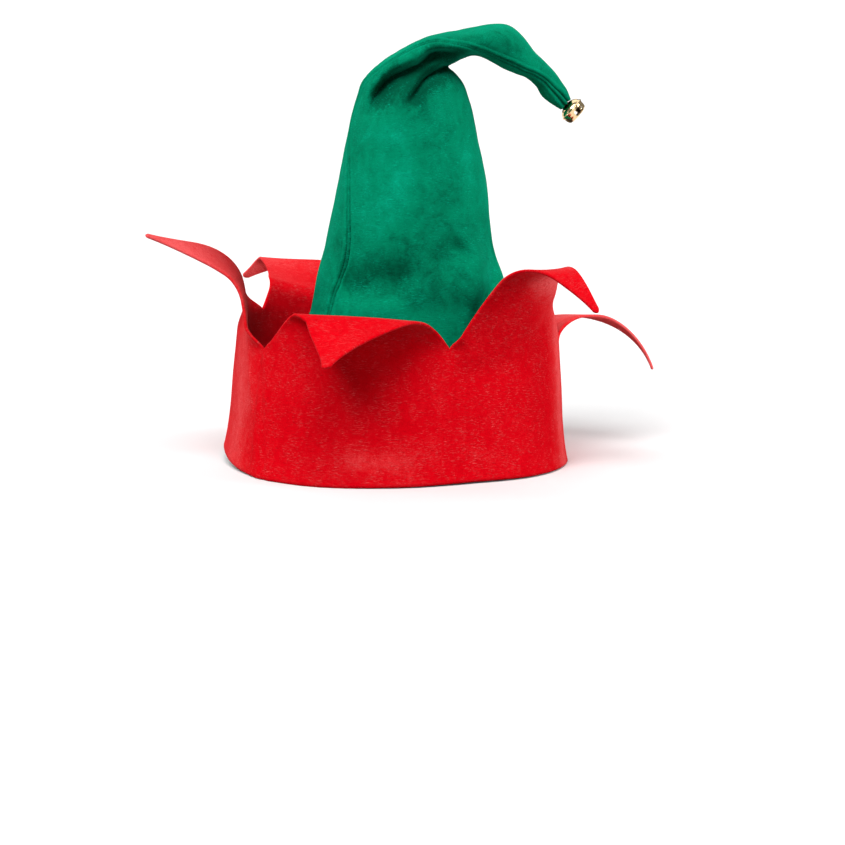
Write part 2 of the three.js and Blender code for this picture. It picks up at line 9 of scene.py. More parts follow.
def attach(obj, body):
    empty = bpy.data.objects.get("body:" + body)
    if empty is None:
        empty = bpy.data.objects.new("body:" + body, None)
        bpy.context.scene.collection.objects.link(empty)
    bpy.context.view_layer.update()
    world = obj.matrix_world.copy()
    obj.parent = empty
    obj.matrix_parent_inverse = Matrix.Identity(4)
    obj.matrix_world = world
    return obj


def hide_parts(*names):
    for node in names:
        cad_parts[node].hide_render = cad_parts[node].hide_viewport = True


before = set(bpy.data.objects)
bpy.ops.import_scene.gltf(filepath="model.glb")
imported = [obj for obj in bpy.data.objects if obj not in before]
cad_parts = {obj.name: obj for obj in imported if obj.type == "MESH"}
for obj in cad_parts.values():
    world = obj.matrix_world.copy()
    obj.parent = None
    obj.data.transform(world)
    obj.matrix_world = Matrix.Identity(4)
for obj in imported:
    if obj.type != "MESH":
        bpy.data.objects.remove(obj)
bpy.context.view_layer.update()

bl_info = {
    "name": "Elf hat",
    "version": (1, 0, 0),
    "blender": (4, 5, 0),
    "location": "View3D > Sidebar > Elf hat",
    "description": "A felt hat with a bent green peak, a red band cut into points and a small brass bell",
    "category": "Add Mesh",
}

# The plan of the rim, every PLAN_STEP degrees from PLAN_START: radius as a share of the band's radius,
# and lift, how far the soft edge stands off the table, as a share of the band's height.
PLAN_START = -36
PLAN_STEP = 30
PLAN = {
    "radius": (1.05, 1.07, 1.093, 0.977, 0.895, 0.971, 1.036, 1.093, 1.105, 1.047, 1.023, 1.07),
    "lift": (0.1, 0.015, 0, 0.006, 0.013, 0.009, 0, 0, 0, 0, 0, 0.04),
}

# The band's wall in profile: height as a share of its height at a notch, radius as a share of the
# rim's.
BAND_PROFILE = {
    "height": (0, 0.12, 0.3, 0.65, 0.88, 1),
    "radius": (1, 0.984, 0.968, 0.951, 0.937, 0.93),
}

# The notches between the points: at is the share of the way round from the seam.
NOTCHES = {"at": (0.007, 0.209, 0.389, 0.6, 0.812), "height": (0.97, 1.042, 0.962, 1.015, 1.098)}

# The points, each after the notch of the same place: length, lean and the height from which the felt is
# straight across, all as shares of the points' length, then the folds as (at, tilt, turn, reach,
# twist), with at and reach as shares too, and tilt and turn in degrees.
POINTS = (
    (0.88, 0.144, 1.2, ((0.113, 14.3, 101, 0.3, -0.24), (0.2, -11, 22, 0.12, -0.4))),
    (1.05, -0.281, 1.2, ((-0.052, -39.3, 19.2, 0.14, 0.856), (0.45, 3.6, 64.5, 0.315, -1))),
    (0.987, -0.233, 0.414, ((-0.114, 12.8, 85.5, 0.207, -0.01), (0.263, -8.4, 75.8, 0.751, -0.324))),
    (0.978, 0.242, 0.371, ((-0.029, -13.6, 62.5, 0.129, 0.359), (0.515, -30.3, 92, 0.095, -0.129))),
    (1.067, 0.358, 0.15, ((0.096, -19.5, 23.3, 0.268, 0.717), (0.158, 13.5, 31.7, 0.584, 0.05))),
)
NOTCH_FADE = 0.12  # the folds fade out near a notch, in shares of the points' length
BODY_FADE = 0.225  # and down the body of the band
FLAT_INSET = 0.047  # how far in the straight felt stands, as a share of the band's radius
TWIST_SPAN = 0.5  # how far along a fold its twist grows, as a share of the points' length
TIP_WIDTH = 0.03  # the width of a point's tip, as a share of its foot
TIP_ROUNDING = 0.012  # how much lower the tip's corners stand, as a share of the point's length
EDGE_CURVE = 1.4  # how hollow a point's edges are: 1 is straight

# The band's standing fold beside its seam: its bearing at the notch line and at the rim, how far its
# edge stands out (a share of the band's radius), and how wide it is, in degrees.
CREASE_TOP, CREASE_RIM = -6, 7
CREASE_OUT = 0.026
CREASE_WIDTH = 7

# The seam's bearing at the notch line and at the rim. Beside it lies the strip of its allowance: how
# far that stands out and the seam sinks in, in metres, then where the strip starts and ends past the
# seam and how wide the seam's groove is, in degrees.
SEAM_TOP, SEAM_RIM = 2.2, 10
ALLOWANCE = {"rise": 0.0005, "start": (-0.3, 0.3), "end": (3.6, 2.8), "groove": 0.7}

# How square the bell's lower half and its windows are: 1 is round, 0 square.
BELL_SQUARE = 0.45
WINDOW_SQUARE = 0.35
BELL_COLUMNS = 96  # how many faces go round the bell

# The crown's sections from the rim to the mouth at the tip: over along, over rise, under along, under
# rise, depth, round.
CROWN = np.array((
    (-1.02, 0, 1.02, 0, 0.93, 0),
    (-0.99, 0.053, 0.99, 0.053, 0.92, 0),
    (-0.955, 0.111, 0.94, 0.111, 0.875, 0.08),
    (-0.905, 0.159, 0.9, 0.159, 0.8, 0.35),
    (-0.835, 0.208, 0.85, 0.208, 0.755, 0.85),
    (-0.729, 0.255, 0.785, 0.255, 0.7, 1),
    (-0.628, 0.295, 0.724, 0.295, 0.66, 1),
    (-0.547, 0.33, 0.674, 0.327, 0.634, 1),
    (-0.518, 0.369, 0.643, 0.365, 0.61, 1),
    (-0.496, 0.426, 0.622, 0.426, 0.593, 1),
    (-0.455, 0.492, 0.564, 0.487, 0.57, 1),
    (-0.422, 0.561, 0.532, 0.556, 0.547, 1),
    (-0.383, 0.639, 0.507, 0.639, 0.517, 1),
    (-0.347, 0.717, 0.464, 0.718, 0.477, 1),
    (-0.313, 0.786, 0.424, 0.783, 0.442, 1),
    (-0.27, 0.841, 0.39, 0.834, 0.413, 1),
    (-0.244, 0.874, 0.352, 0.872, 0.4, 1),
    (-0.19, 0.901, 0.304, 0.897, 0.39, 1),
    (-0.105, 0.929, 0.262, 0.91, 0.378, 1),
    (-0.012, 0.953, 0.257, 0.918, 0.365, 1),
    (0.078, 0.972, 0.275, 0.923, 0.35, 1),
    (0.181, 0.986, 0.301, 0.928, 0.333, 1),
    (0.301, 0.995, 0.343, 0.938, 0.315, 1),
    (0.422, 1.004, 0.4, 0.945, 0.296, 1),
    (0.53, 1.011, 0.473, 0.941, 0.273, 1),
    (0.625, 1.008, 0.539, 0.928, 0.25, 1),
    (0.703, 0.986, 0.596, 0.917, 0.221, 1),
    (0.77, 0.953, 0.667, 0.905, 0.192, 1),
    (0.83, 0.931, 0.733, 0.896, 0.163, 1),
    (0.891, 0.91, 0.797, 0.876, 0.134, 1),
    (0.938, 0.888, 0.834, 0.854, 0.105, 1),
    (0.975, 0.869, 0.883, 0.839, 0.079, 1),
    (0.998, 0.848, 0.949, 0.824, 0.051, 1),
)).T

# Broad dents of the crown: row, rows, turn, turns, slant, depth (a share of the crown's reach).
DENTS = (
    (18, 3, 250, 24, 8, 0.06),
    (11, 3.5, 262, 26, 4, 0.035),
    (29.5, 0.9, 60, 50, 0, 0.012),
)

# Folds of the crown, each along a line of (along, rise) on its near (1) or far (-1) side: side, depth
# inwards, width above and width below the line, in metres, then the line.
CREASES = (
    (
        1, 0.016, 0.0028, 0.008,
        (
            (0.32, 0.953), (0.238, 0.953), (0.186, 0.952), (0.151, 0.945), (0.125, 0.936),
            (0.081, 0.922), (0.034, 0.914), (-0.023, 0.904), (-0.071, 0.895), (-0.108, 0.884),
            (-0.138, 0.868), (-0.163, 0.85), (-0.19, 0.815), (-0.21, 0.79),
        ),
    ),
    (
        1, -0.0025, 0.0024, 0.002,
        ((0.298, 0.966), (0.211, 0.969), (0.132, 0.965), (0.031, 0.947), (-0.084, 0.927), (-0.194, 0.894)),
    ),
    (
        1, 0.013, 0.0022, 0.004,
        (
            (0.262, 0.916), (0.219, 0.911), (0.175, 0.905), (0.139, 0.896), (0.109, 0.885), (0.065, 0.86),
            (0.042, 0.848), (0.02, 0.825),
        ),
    ),
    (1, -0.0022, 0.0024, 0.0022, ((0.236, 0.934), (0.124, 0.92), (-0.01, 0.888))),
    (1, -0.0016, 0.0022, 0.002, ((-0.03, 0.895), (0.004, 0.862), (0.007, 0.825))),
    (1, 0.0088, 0.011, 0.006, ((-0.36, 0.4), (-0.23, 0.42), (-0.115, 0.43), (-0.02, 0.428), (0.09, 0.405))),
    (1, -0.0026, 0.008, 0.01, ((-0.297, 0.39), (-0.084, 0.392), (0.064, 0.4))),
    (1, 0.0055, 0.008, 0.007, ((0.2, 0.47), (0.3, 0.502), (0.4, 0.53))),
    (
        1, 0.0065, 0.0036, 0.003,
        ((0.509, 0.55), (0.546, 0.476), (0.552, 0.44), (0.513, 0.396), (0.458, 0.351), (0.403, 0.31)),
    ),
    (1, -0.002, 0.006, 0.006, ((0.47, 0.5), (0.441, 0.434), (0.376, 0.382))),
    (-1, 0.007, 0.004, 0.006, ((0.31, 0.958), (0.2, 0.94), (0.08, 0.915), (-0.05, 0.87))),
    (-1, 0.005, 0.003, 0.004, ((0.26, 0.92), (0.18, 0.9), (0.12, 0.85))),
)

# The sewn seam's way over the crown: row of its table, and the turn it stands at.
CROWN_SEAM = {
    "row": (0, 6, 8.3, 9.8, 12.4, 14.4, 16.2, 17.4, 18.6, 19.9, 21, 21.9, 23.5, 25.2, 26.9, 28.5, 30, 32),
    "turn": (144, 144, 143, 136, 150, 170, 166, 155, 144, 139, 131, 106, 66, 56, 68, 81, 96, 98),
}

# How much painted shade a fold gets: the depth over which the shade grows, in metres, from how many such
# depths on, and how dark at most.
FOLD_PAINTED_SHADE = (0.004, 2.2, 1.3)

# The crown's seam across its line, on both sides: how far off, how wide and how far pressed in, in metres.
# Then how far off, how wide and how strong the painted shade in its groove is, and below 0 the painted
# highlight on its welt, the rows between which the seam comes up, and where it is fainter: row, rows and by
# how much.
SEAM_PRESSED = ((0, 0.0007, -0.0004), (0.0014, 0.0007, 0.0018), (0.0032, 0.0011, -0.0006))
SEAM_PAINTED_SHADING = ((0.0014, 0.0008, 2.2), (0.0032, 0.0009, -0.3))
SEAM_SHOWN = (4, 6)
SEAM_FAINT = (12.6, 2, 0.65)

# The crown's slow unevenness: depth and length of the waves in metres, and the seed of the draw. Then
# the rows between which it comes up.
CROWN_WAVES = ((0.0004, 0.035, 3), (0.00015, 0.012, 5))
WAVES_SHOWN = (5, 7)

# Soft oval spots where the nap lies flat or stands up, and where light and shade are painted: place, width,
# height, slant, and how much, below 0 where it stands up or is shaded. On the band the place is how far
# round and how high in the cloth, both as shares of the way round, and on the crown it is a row of its
# table and a turn. The band's spots are partly flat nap and partly painted light, pale where the points
# catch light from behind and where light grazes the band's edges. The crown's are nap mottling, with
# painted shade under the bent peak and in the lower folds. There the deep folds and the seam's groove also
# get painted shade, and the seam's welt a painted highlight, by the value below the crown's table.
BAND_NAP_AND_LIGHT = (
    (0.965, -0.06, 0.03, 0.16, 0, 0.5),
    (0.91, 0.14, 0.1, 0.07, 0, 0.9),
    (0.71, 0.14, 0.06, 0.06, 0, 0.6),
    # Painted light: the right back point pale as if lit from behind.
    (0.49, 0.1, 0.1, 0.12, 0, 1.2),
    (0.33, 0.08, 0.04, 0.025, 0, 0.9),
    (0.13, -0.103, 0.035, 0.012, 0, 0.35),
    (0.372, -0.06, 0.018, 0.2, 0, 0.6),
)
CROWN_NAP_AND_SHADE = (
    (14.35, 122, 1.6, 22, 0, 0.25),
    (13.25, 107, 1.4, 20, 0, 0.22),
    (12.4, 103, 1.2, 18, 0, 0.2),
    (11.1, 108, 1.3, 22, 0, 0.22),
    (8.05, 108, 0.35, 22, 0, 0.4),
    (7.9, 68, 0.35, 14, 0, 0.25),
    (8.96, 122, 0.5, 14, 0, -0.6),
    (10.6, 40, 0.8, 12, 0, -0.25),
    (8.75, 86, 0.6, 24, 0, -0.3),
    (9.3, 62, 0.7, 16, 0, -0.15),
    (14.4, 76, 1.2, 18, 0, -0.3),
    # Painted shadow under the bent peak.
    (16.4, 56, 0.7, 28, 0, -0.6),
    (25, 90, 3.5, 50, 0, -0.2),
    (9.3, 145, 1.2, 20, 0, 0.25),
    (11.8, 39, 3, 10, 0, 0.3),
    (10.3, 146, 1.2, 20, 0, -0.25),
    (11, 121, 0.8, 14, 0, -0.2),
    (12.25, 62, 1.5, 18, 0, -0.2),
    (10.2, 68, 1, 25, 0, -0.2),
    (9.9, 112, 0.8, 28, 0, -0.45),
    (16.2, 125, 0.9, 22, 0, -0.3),
)
CROWN_PAINTED_SHADE = 0.9

# How the crown's rows of faces are spread over the rows of its table, with more where the peak bends.
CROWN_SPREAD = {"row": (0, 5, 14.5, 22.5, 32), "faces": (0, 12, 72, 150, 200)}

# How far out the third row of places stands that rounds a cut edge, as a share of half the felt.
EDGE_ROUNDING = 0.7

# The felts: how pale a painted sheen makes them where they are seen along their face, how strong their
# blotches, and how strong their fibres.
RED_FELT = (0.15, 0.5, 1.2)
GREEN_FELT = (0.35, 1.35, 2.4)

# Distant lights: name, direction to the right, towards the camera and up, width in degrees, and
# strength.
LIGHTS = (
    ("Key", (-0.5, 0.87, 0.9), 24, 1.9),
    ("Front", (0.05, 0.6, 0.9), 30, 1.5),
    ("Right", (1.0, 0.1, 0.2), 30, 1.5),
    ("Back", (-0.1, -0.7, 1.0), 50, 0.7),
    ("Left rim", (-1.0, -0.3, 0.3), 30, 0.9),
)
# Small cards that throw light up under the points: name, how far to the right, how much they face to the
# right as well as up, and power. Then their height and size in metres, and how strong the white light
# from all round is.
CARDS = (("Right card", 0.25, -0.5, 0.3), ("Left card", -0.25, 0.5, 0.13))
CARD_HEIGHT = 0.012
CARD_SIZE = 0.2
WORLD_STRENGTH = 0.25

# The camera: angles in degrees, distance and aim (to the right and up) in metres, lens in millimetres.
CAMERA = {
    "azimuth": -126, "elevation": 9.5, "roll": 1.2, "distance": 1.8, "aim": (0.0132, 0.02), "lens": 145.7,
}


class ElfHatSizes(bpy.types.PropertyGroup):
    """The sizes a maker would change, in metres."""

    def length(name, text, value):
        return bpy.props.FloatProperty(
            name=name, description=text, default=value,
            min=0, precision=4, subtype="DISTANCE", unit="LENGTH",
        )

    def angle(name, text, value):
        return bpy.props.FloatProperty(name=name, description=text, default=value)

    band_radius: length("Band radius", "Mean radius of the rim on which the hat rests", 0.086)
    band_height: length("Band height", "Height of the band at its notches", 0.066)
    point_length: length("Point length", "Length of a point of the band from its notches to its tip", 0.08)
    hat_height: length("Hat height", "Height of the bend of the peak over the rim", 0.226)
    crown_reach: length("Crown reach", "How far the peak falls to the side of the opening's centre", 0.086)
    band_felt: length("Band felt", "Thickness of the red felt", 0.0015)
    crown_felt: length("Crown felt", "Thickness of the green felt", 0.0014)
    tip_felt: length("Tip felt", "Thickness of the green felt where it is drawn in at the tip", 0.001)
    sewn_gap: length("Sewn gap", "Room between the band and the crown inside it", 0.0008)
    hem_rise: length("Hem rise", "How far the crown's edge ends above the rim", 0.0008)
    bell_diameter: length("Bell diameter", "Width of the bell's ball", 0.0128)
    bell_wall: length("Bell wall", "Thickness of the bell's brass", 0.0009)
    bell_crimp: length("Bell crimp", "How far the joint between the bell's halves stands out", 0.0006)
    bell_dome: length("Bell dome", "Height of the bell's upper half", 0.004)
    bell_foot: length("Bell foot", "Height of the bell's lower half", 0.005)
    window_width: length("Window width", "Width of the windows round the bell's lower half", 0.0056)
    window_height: length("Window height", "Height of the windows round the bell's lower half", 0.0032)
    slot_width: length("Slot width", "Width of the slots across the bell's foot", 0.0012)
    shank_wire: length("Shank wire", "Thickness of the wire of the bell's eye", 0.0008)
    shank_eye: length("Shank eye", "Inner width of the bell's eye", 0.002)
    touch_gap: length("Touch gap", "Room between the bell and the felt round it", 0.0003)
    fall_bearing: angle("Fall bearing", "Bearing of the side to which the peak falls, in degrees", 144)
    bell_tilt: angle("Bell tilt", "Angle of the bell's axis below the horizontal, in degrees", 40)
    bell_turn: angle("Bell turn", "How far the bell's windows are turned about its axis, in degrees", 22.5)


class ElfHatColours(bpy.types.PropertyGroup):
    """The colours of the felts, the brass, the thread and the floor."""

    def colour(name, text, value):
        return bpy.props.FloatVectorProperty(
            name=name, description=text, default=(*value, 1), size=4, min=0, max=1, subtype="COLOR"
        )

    # The pale colours also show painted light and sheen, and the deep ones painted shade in the crown's
    # folds.
    green: colour("Green felt", "Main colour of the crown", (0.0003, 0.24, 0.12))
    green_pale: colour("Green felt, pale", "Colour of the crown where its nap is flat", (0.002, 0.46, 0.27))
    green_deep: colour("Green felt, deep", "Colour of the crown where its nap is up", (0.0002, 0.07, 0.035))
    red: colour("Red felt", "Main colour of the band", (0.7, 0.0004, 0.0065))
    red_pale: colour("Red felt, pale", "Colour of the band where its nap is flat", (0.96, 0.16, 0.16))
    red_deep: colour("Red felt, deep", "Colour of the band where its nap is up", (0.5, 0.0002, 0.003))
    brass: colour("Brass", "Colour of the bell's metal", (0.81, 0.64, 0.38))
    thread: colour("Thread", "Colour of the thread that holds the bell", (0.002, 0.14, 0.08))
    floor: colour("Floor", "Colour of the floor", (0.86, 0.86, 0.86))


class ElfHat(bpy.types.PropertyGroup):
    """What the hat's panel shows."""

    sizes: bpy.props.PointerProperty(type=ElfHatSizes)
    colours: bpy.props.PointerProperty(type=ElfHatColours)


# Tables and curves


def spline(a, b, c, d, f):
    """A cubic through four neighbouring values, read at the share f between the middle two, where its
    slopes are half the difference of the values on either side."""
    return b + 0.5 * f * (c - a + f * (2 * a - 5 * b + 4 * c - d + f * (3 * (b - c) + d - a)))


def round_table(values, place):
    """A table closed on itself, read between its rows along the cubic."""
    values = np.asarray(values, float)
    at = np.mod(place, len(values))
    i = np.floor(at).astype(int)
    return spline(*(values[(i + k) % len(values)] for k in (-1, 0, 1, 2)), at - i)


def open_table(values, place):
    """A table read between its rows along the cubic, from end to end."""
    values = np.asarray(values, float)
    last = len(values) - 1
    at = np.clip(place, 0, last)
    i = np.minimum(np.floor(at).astype(int), last - 1)
    return spline(*(values[np.clip(i + k, 0, last)] for k in (-1, 0, 1, 2)), at - i)


def uneven_table(places, values, place):
    """A smooth curve through uneven rows: a cubic between two rows, with the neighbours' slope at
    each."""
    x, y = np.asarray(places, float), np.asarray(values, float)
    slope = np.gradient(y, x)
    at = np.clip(place, x[0], x[-1])
    i = np.clip(np.searchsorted(x, at, side="right") - 1, 0, len(x) - 2)
    step = x[i + 1] - x[i]
    f = (at - x[i]) / step
    return (
        y[i] * (1 + 2 * f) * (1 - f) ** 2
        + slope[i] * step * f * (1 - f) ** 2
        + y[i + 1] * f * f * (3 - 2 * f)
        - slope[i + 1] * step * f * f * (1 - f)
    )


def mix(a, b, share):
    """The value at a share of the way from a to b."""
    return a + (b - a) * share


def ease(value):
    """A soft step from 0 to 1: three times the square less twice the cube."""
    x = np.clip(value, 0, 1)
    return x * x * (3 - 2 * x)


def ramp(value, low, high):
    """A soft step between two values, up or down."""
    return ease((value - low) / (high - low))


def bump(value):
    """A soft bump: 1 at 0, falling with the square as the bell curve."""
    return np.exp(-value * value)


def wrapped(turn):
    """A turn in degrees brought between -180 and 180."""
    return (turn + 180) % 360 - 180


def ripple(points, wave, seed, count=8):
    """A slow unevenness: twice the mean of some sines of about the length wave, each in its own
    direction."""
    draw = np.random.default_rng(seed)
    ways = draw.normal(size=(count, 3))
    ways /= np.linalg.norm(ways, axis=1, keepdims=True)
    ways *= draw.uniform(0.7, 1.4, (count, 1))
    phases = draw.uniform(0, 2 * np.pi, count)
    return np.sin(points @ ways.T * (2 * np.pi / wave) + phases).mean(-1) * 2


def direction(bearing):
    """The level direction of a bearing, in degrees anticlockwise from +Y."""
    turn = np.radians(bearing)
    return np.stack((-np.sin(turn), np.cos(turn)), -1)


# The band


def rim_radius(sizes, bearing):
    """The rim's radius at a bearing: the plan's share of the band's radius."""
    return sizes.band_radius * round_table(PLAN["radius"], (bearing - PLAN_START) / PLAN_STEP)


def rim_lift(sizes, bearing):
    """How far the rim stands off the table at a bearing: the plan's share of the band's height, at
    least 0."""
    return sizes.band_height * np.maximum(round_table(PLAN["lift"], (bearing - PLAN_START) / PLAN_STEP), 0)


def band_profile(height):
    """The band's radius as a share of the rim's, at a share of its height."""
    return uneven_table(BAND_PROFILE["height"], BAND_PROFILE["radius"], height)


class BandPlan:
    """The band's plan at the height of its notches, measured round by length."""

    STEPS = 720

    def __init__(self, sizes):
        self.sizes = sizes
        self.bearings = np.linspace(0, 360, self.STEPS + 1)
        places = self.place(self.bearings)
        steps = np.linalg.norm(np.diff(places, axis=0), axis=1)
        self.lengths = np.concatenate(([0], np.cumsum(steps)))
        self.round = self.lengths[-1]

    def place(self, bearing):
        """The place at a bearing: its direction times the radius there."""
        radius = rim_radius(self.sizes, bearing) * BAND_PROFILE["radius"][-1]
        return direction(bearing) * radius[..., None]

    def ring(self, share):
        """The bearing at a share of the way round, the place there, and the directions onwards and
        outwards."""
        turns = np.floor(share)
        bearing = np.interp((share - turns) * self.round, self.lengths, self.bearings) + 360 * turns
        onward = self.place(bearing + 0.5) - self.place(bearing - 0.5)
        onward /= np.linalg.norm(onward, axis=-1, keepdims=True)
        outward = np.stack((onward[..., 1], -onward[..., 0]), -1)
        return bearing, self.place(bearing), onward, outward


def gap_between_notches(k):
    """Where point k starts and ends on the way round, and the heights of the notches at both ends."""
    after = (k + 1) % len(POINTS)
    end = NOTCHES["at"][after] + (after == 0)
    return NOTCHES["at"][k], end, NOTCHES["height"][k], NOTCHES["height"][after]


def fold(place, flat, row, length):
    """Rolls the flat felt about a fold: past a line tilted by tilt it follows a circle over reach, by
    turn degrees, and then runs on straight. The turn grows to one side by the share twist."""
    at, tilt, turn, reach, twist = row
    c, s = math.cos(math.radians(tilt)), math.sin(math.radians(tilt))
    at, reach = at * length, reach * length
    past = flat[:, 1] * c + flat[:, 0] * s
    along = flat[:, 0] * c - flat[:, 1] * s
    full = math.radians(turn) * (1 + twist * np.tanh(along / (TWIST_SPAN * length)))
    full = np.where(np.abs(full) < 1e-4, 1e-4, full)
    share = np.maximum((past - at) / reach, 0)
    angle = full * np.minimum(share, 1)
    radius = reach / full
    rest = np.maximum(past - at - reach, 0)
    up = np.where(past > at, at + radius * np.sin(angle), past) + rest * np.cos(angle)
    out = radius * (1 - np.cos(angle)) + rest * np.sin(angle)
    off_up = place[:, 1] * c + place[:, 0] * s - past
    side = place[:, 0] * c - place[:, 1] * s
    new_up = up + off_up * np.cos(angle) - place[:, 2] * np.sin(angle)
    new_out = out + off_up * np.sin(angle) + place[:, 2] * np.cos(angle)
    return np.stack((new_up * s + side * c, new_up * c - side * s, new_out), -1)


def standing_fold(sizes, bearing, share):
    """How far the band stands out near its seam: the fold falls away evenly in ratio to either side of
    its edge, and the seam is a groove with the raised strip of its allowance beside it."""
    off = wrapped(bearing - mix(CREASE_RIM, CREASE_TOP, share))
    seam = wrapped(bearing - mix(SEAM_RIM, SEAM_TOP, share))
    strip = ramp(seam, *ALLOWANCE["start"]) * ramp(seam, *ALLOWANCE["end"])
    raised = ALLOWANCE["rise"] * (strip - bump(seam / ALLOWANCE["groove"]))
    return CREASE_OUT * sizes.band_radius * np.exp(-np.abs(off) / CREASE_WIDTH) + raised


def felt_place(sizes, plan, k, sideways, up):
    """A place of the band or of point k: sideways from the point's middle and up from the notch line,
    in flat felt. The felt is folded while flat, and then laid round the plan below and on a level face
    above."""
    size = sizes.point_length
    start, end, low, high = gap_between_notches(k)
    middle, half = (start + end) / 2, (end - start) / 2 * plan.round
    _, lean, straight_from, folds = POINTS[k]
    above = np.maximum(up, 0)
    flat = np.stack((sideways + lean * above, up, np.zeros_like(up)), -1)
    place = flat
    for row in reversed(folds):
        place = fold(place, flat, row, size)
    from_notch = np.hypot(np.maximum(half - np.abs(sideways), 0), above)
    kept = ease(from_notch / (NOTCH_FADE * size)) * ease(1 + up / (BODY_FADE * size))
    place = mix(flat, place, kept[:, None])
    line = mix(low, high, np.clip(sideways / half, -1, 1) / 2 + 0.5) * sizes.band_height
    bearing, bent, _, out = plan.ring(middle + place[:, 0] / plan.round)
    _, p, on, outward = plan.ring(np.array([middle]))
    share = np.clip(1 + up / line, 0, 1)
    stands = (place[:, 2] + standing_fold(sizes, bearing, share))[:, None]
    bent = bent * (band_profile(share) / BAND_PROFILE["radius"][-1])[:, None] + out * stands
    straight = p + on * place[:, :1] + outward * (place[:, 2:] - FLAT_INSET * sizes.band_radius)
    xy = mix(bent, straight, ease(up / (straight_from * size))[:, None])
    z = line + place[:, 1] + rim_lift(sizes, bearing) * (1 - share)
    return np.column_stack((xy, z))


def band_sheet(sizes, columns=80, body_rows=38, point_rows=60):
    """The band's middle surface: rows up the body all the way round, then each point's rows on its
    share of the top one, narrowing to the tip. With it the faces, which places lie on the rim, where
    each place lies in the cloth, round and up, and the plan."""
    plan = BandPlan(sizes)
    points = range(len(POINTS))
    around = columns * len(points)
    sides = np.arange(columns) / columns * 2 - 1
    places, up_cloth, round_cloth, halves = [], [], [], []
    for k in points:
        start, end, _, _ = gap_between_notches(k)
        halves.append((end - start) / 2 * plan.round)
    for height in np.linspace(0, 1, body_rows):
        for k in points:
            start, _, low, high = gap_between_notches(k)
            up = (height - 1) * (mix(low, high, sides / 2 + 0.5) * sizes.band_height)
            places.append(felt_place(sizes, plan, k, sides * halves[k], up))
            up_cloth.append(up)
            round_cloth.append(start * plan.round + (sides + 1) * halves[k])
    ids = np.arange(around * body_rows).reshape(body_rows, around)
    wrap = np.column_stack((ids, ids[:, 0]))
    faces = [grid_faces(wrap)]
    count = ids.size
    share = np.arange(1, point_rows + 1)[:, None] / point_rows
    side = np.linspace(-1, 1, columns + 1)[None, :]
    rounding = np.where(share == 1, 1 - TIP_ROUNDING * side * side, 1)
    for k in points:
        sideways = side * (mix(TIP_WIDTH, 1, (1 - share) ** EDGE_CURVE) * halves[k])
        up = share * rounding * POINTS[k][0] * sizes.point_length
        places.append(felt_place(sizes, plan, k, sideways.ravel(), up.ravel()))
        up_cloth.append(up.ravel())
        round_cloth.append(((NOTCHES["at"][k] * plan.round + halves[k]) + sideways).ravel())
        rows = count + np.arange(up.size).reshape(up.shape)
        first = wrap[-1, k * columns + np.arange(columns + 1)]
        faces.append(grid_faces(np.vstack((first, rows))))
        count += up.size
    level = np.zeros(count, bool)
    level[:around] = True
    up_cloth, round_cloth = np.concatenate(up_cloth), np.concatenate(round_cloth)
    return np.vstack(places), np.vstack(faces), level, up_cloth, round_cloth, plan


def nap_and_light_spots(where, table):
    """How far the nap lies flat or light is painted (above 0), and how far it stands up or shade is painted
    (below 0), at each place: soft oval bumps, added up."""
    brushed = np.zeros(len(where))
    for across, up, wide, high, slant, amount in table:
        x, y = where[:, 0] - across, where[:, 1] - up
        brushed += amount * bump(np.hypot((x - slant * y) / wide, y / high))
    return brushed


# The crown


def crown_place(sizes, row, turn):
    """A place of the crown's middle surface: its section at that row of the table is an oval between
    the two ends over and under, and low down it follows the band's inside."""
    over_a, over_r, under_a, under_r, depth, free = (open_table(column, row) for column in CROWN)
    c, s = np.cos(np.radians(turn)), np.sin(np.radians(turn))
    along = mix(over_a, under_a, 0.5 + c / 2) * sizes.crown_reach
    rise = mix(over_r, under_r, 0.5 + c / 2) * sizes.hat_height
    fall, across = direction(sizes.fall_bearing), direction(sizes.fall_bearing - 90)
    loose = fall * along[..., None] + across * (depth * sizes.crown_reach * s)[..., None]
    bearing = sizes.fall_bearing - turn
    inset = sizes.band_felt / 2 + sizes.sewn_gap + sizes.crown_felt / 2
    radius = rim_radius(sizes, bearing) * band_profile(rise / sizes.band_height) - inset
    fitted = direction(bearing) * radius[..., None]
    xy = mix(fitted, loose, np.clip(free, 0, 1)[..., None])
    lift = rim_lift(sizes, bearing) * np.clip(1 - rise / sizes.band_height, 0, 1)
    z = sizes.hem_rise + rise * (1 - sizes.hem_rise / sizes.hat_height) + lift
    return np.concatenate((xy, z[..., None]), -1)


def grid_normals(grid):
    """Outward normals of a grid of rows round a closed form: across the difference up and the
    difference round."""
    up = np.gradient(grid, axis=0)
    on = np.roll(grid, -1, 1) - np.roll(grid, 1, 1)
    normal = np.cross(on, up)
    return normal / np.maximum(np.linalg.norm(normal, axis=-1, keepdims=True), 1e-12)


def line_distance(points, line):
    """The distance from each place on a plane to a broken line, above 0 on its left, and the share of
    the line's length at which its nearest point lies."""
    best = np.full(points.shape[:-1], np.inf)
    signed, inside = np.zeros_like(best), np.zeros_like(best)
    line = np.asarray(line, float)
    steps = np.linalg.norm(np.diff(line, axis=0), axis=1)
    total, run = steps.sum(), 0.0
    for start, end, step in zip(line[:-1], line[1:], steps):
        way = (end - start) / step
        off = points - start
        along = np.clip(off @ way, 0, step)
        gap = off - along[..., None] * way
        length = np.linalg.norm(gap, axis=-1)
        near = length < best
        side = np.sign(way[0] * off[..., 1] - way[1] * off[..., 0])
        best = np.where(near, length, best)
        signed = np.where(near, length * side, signed)
        inside = np.where(near, (run + along) / total, inside)
        run += step
    return signed, inside


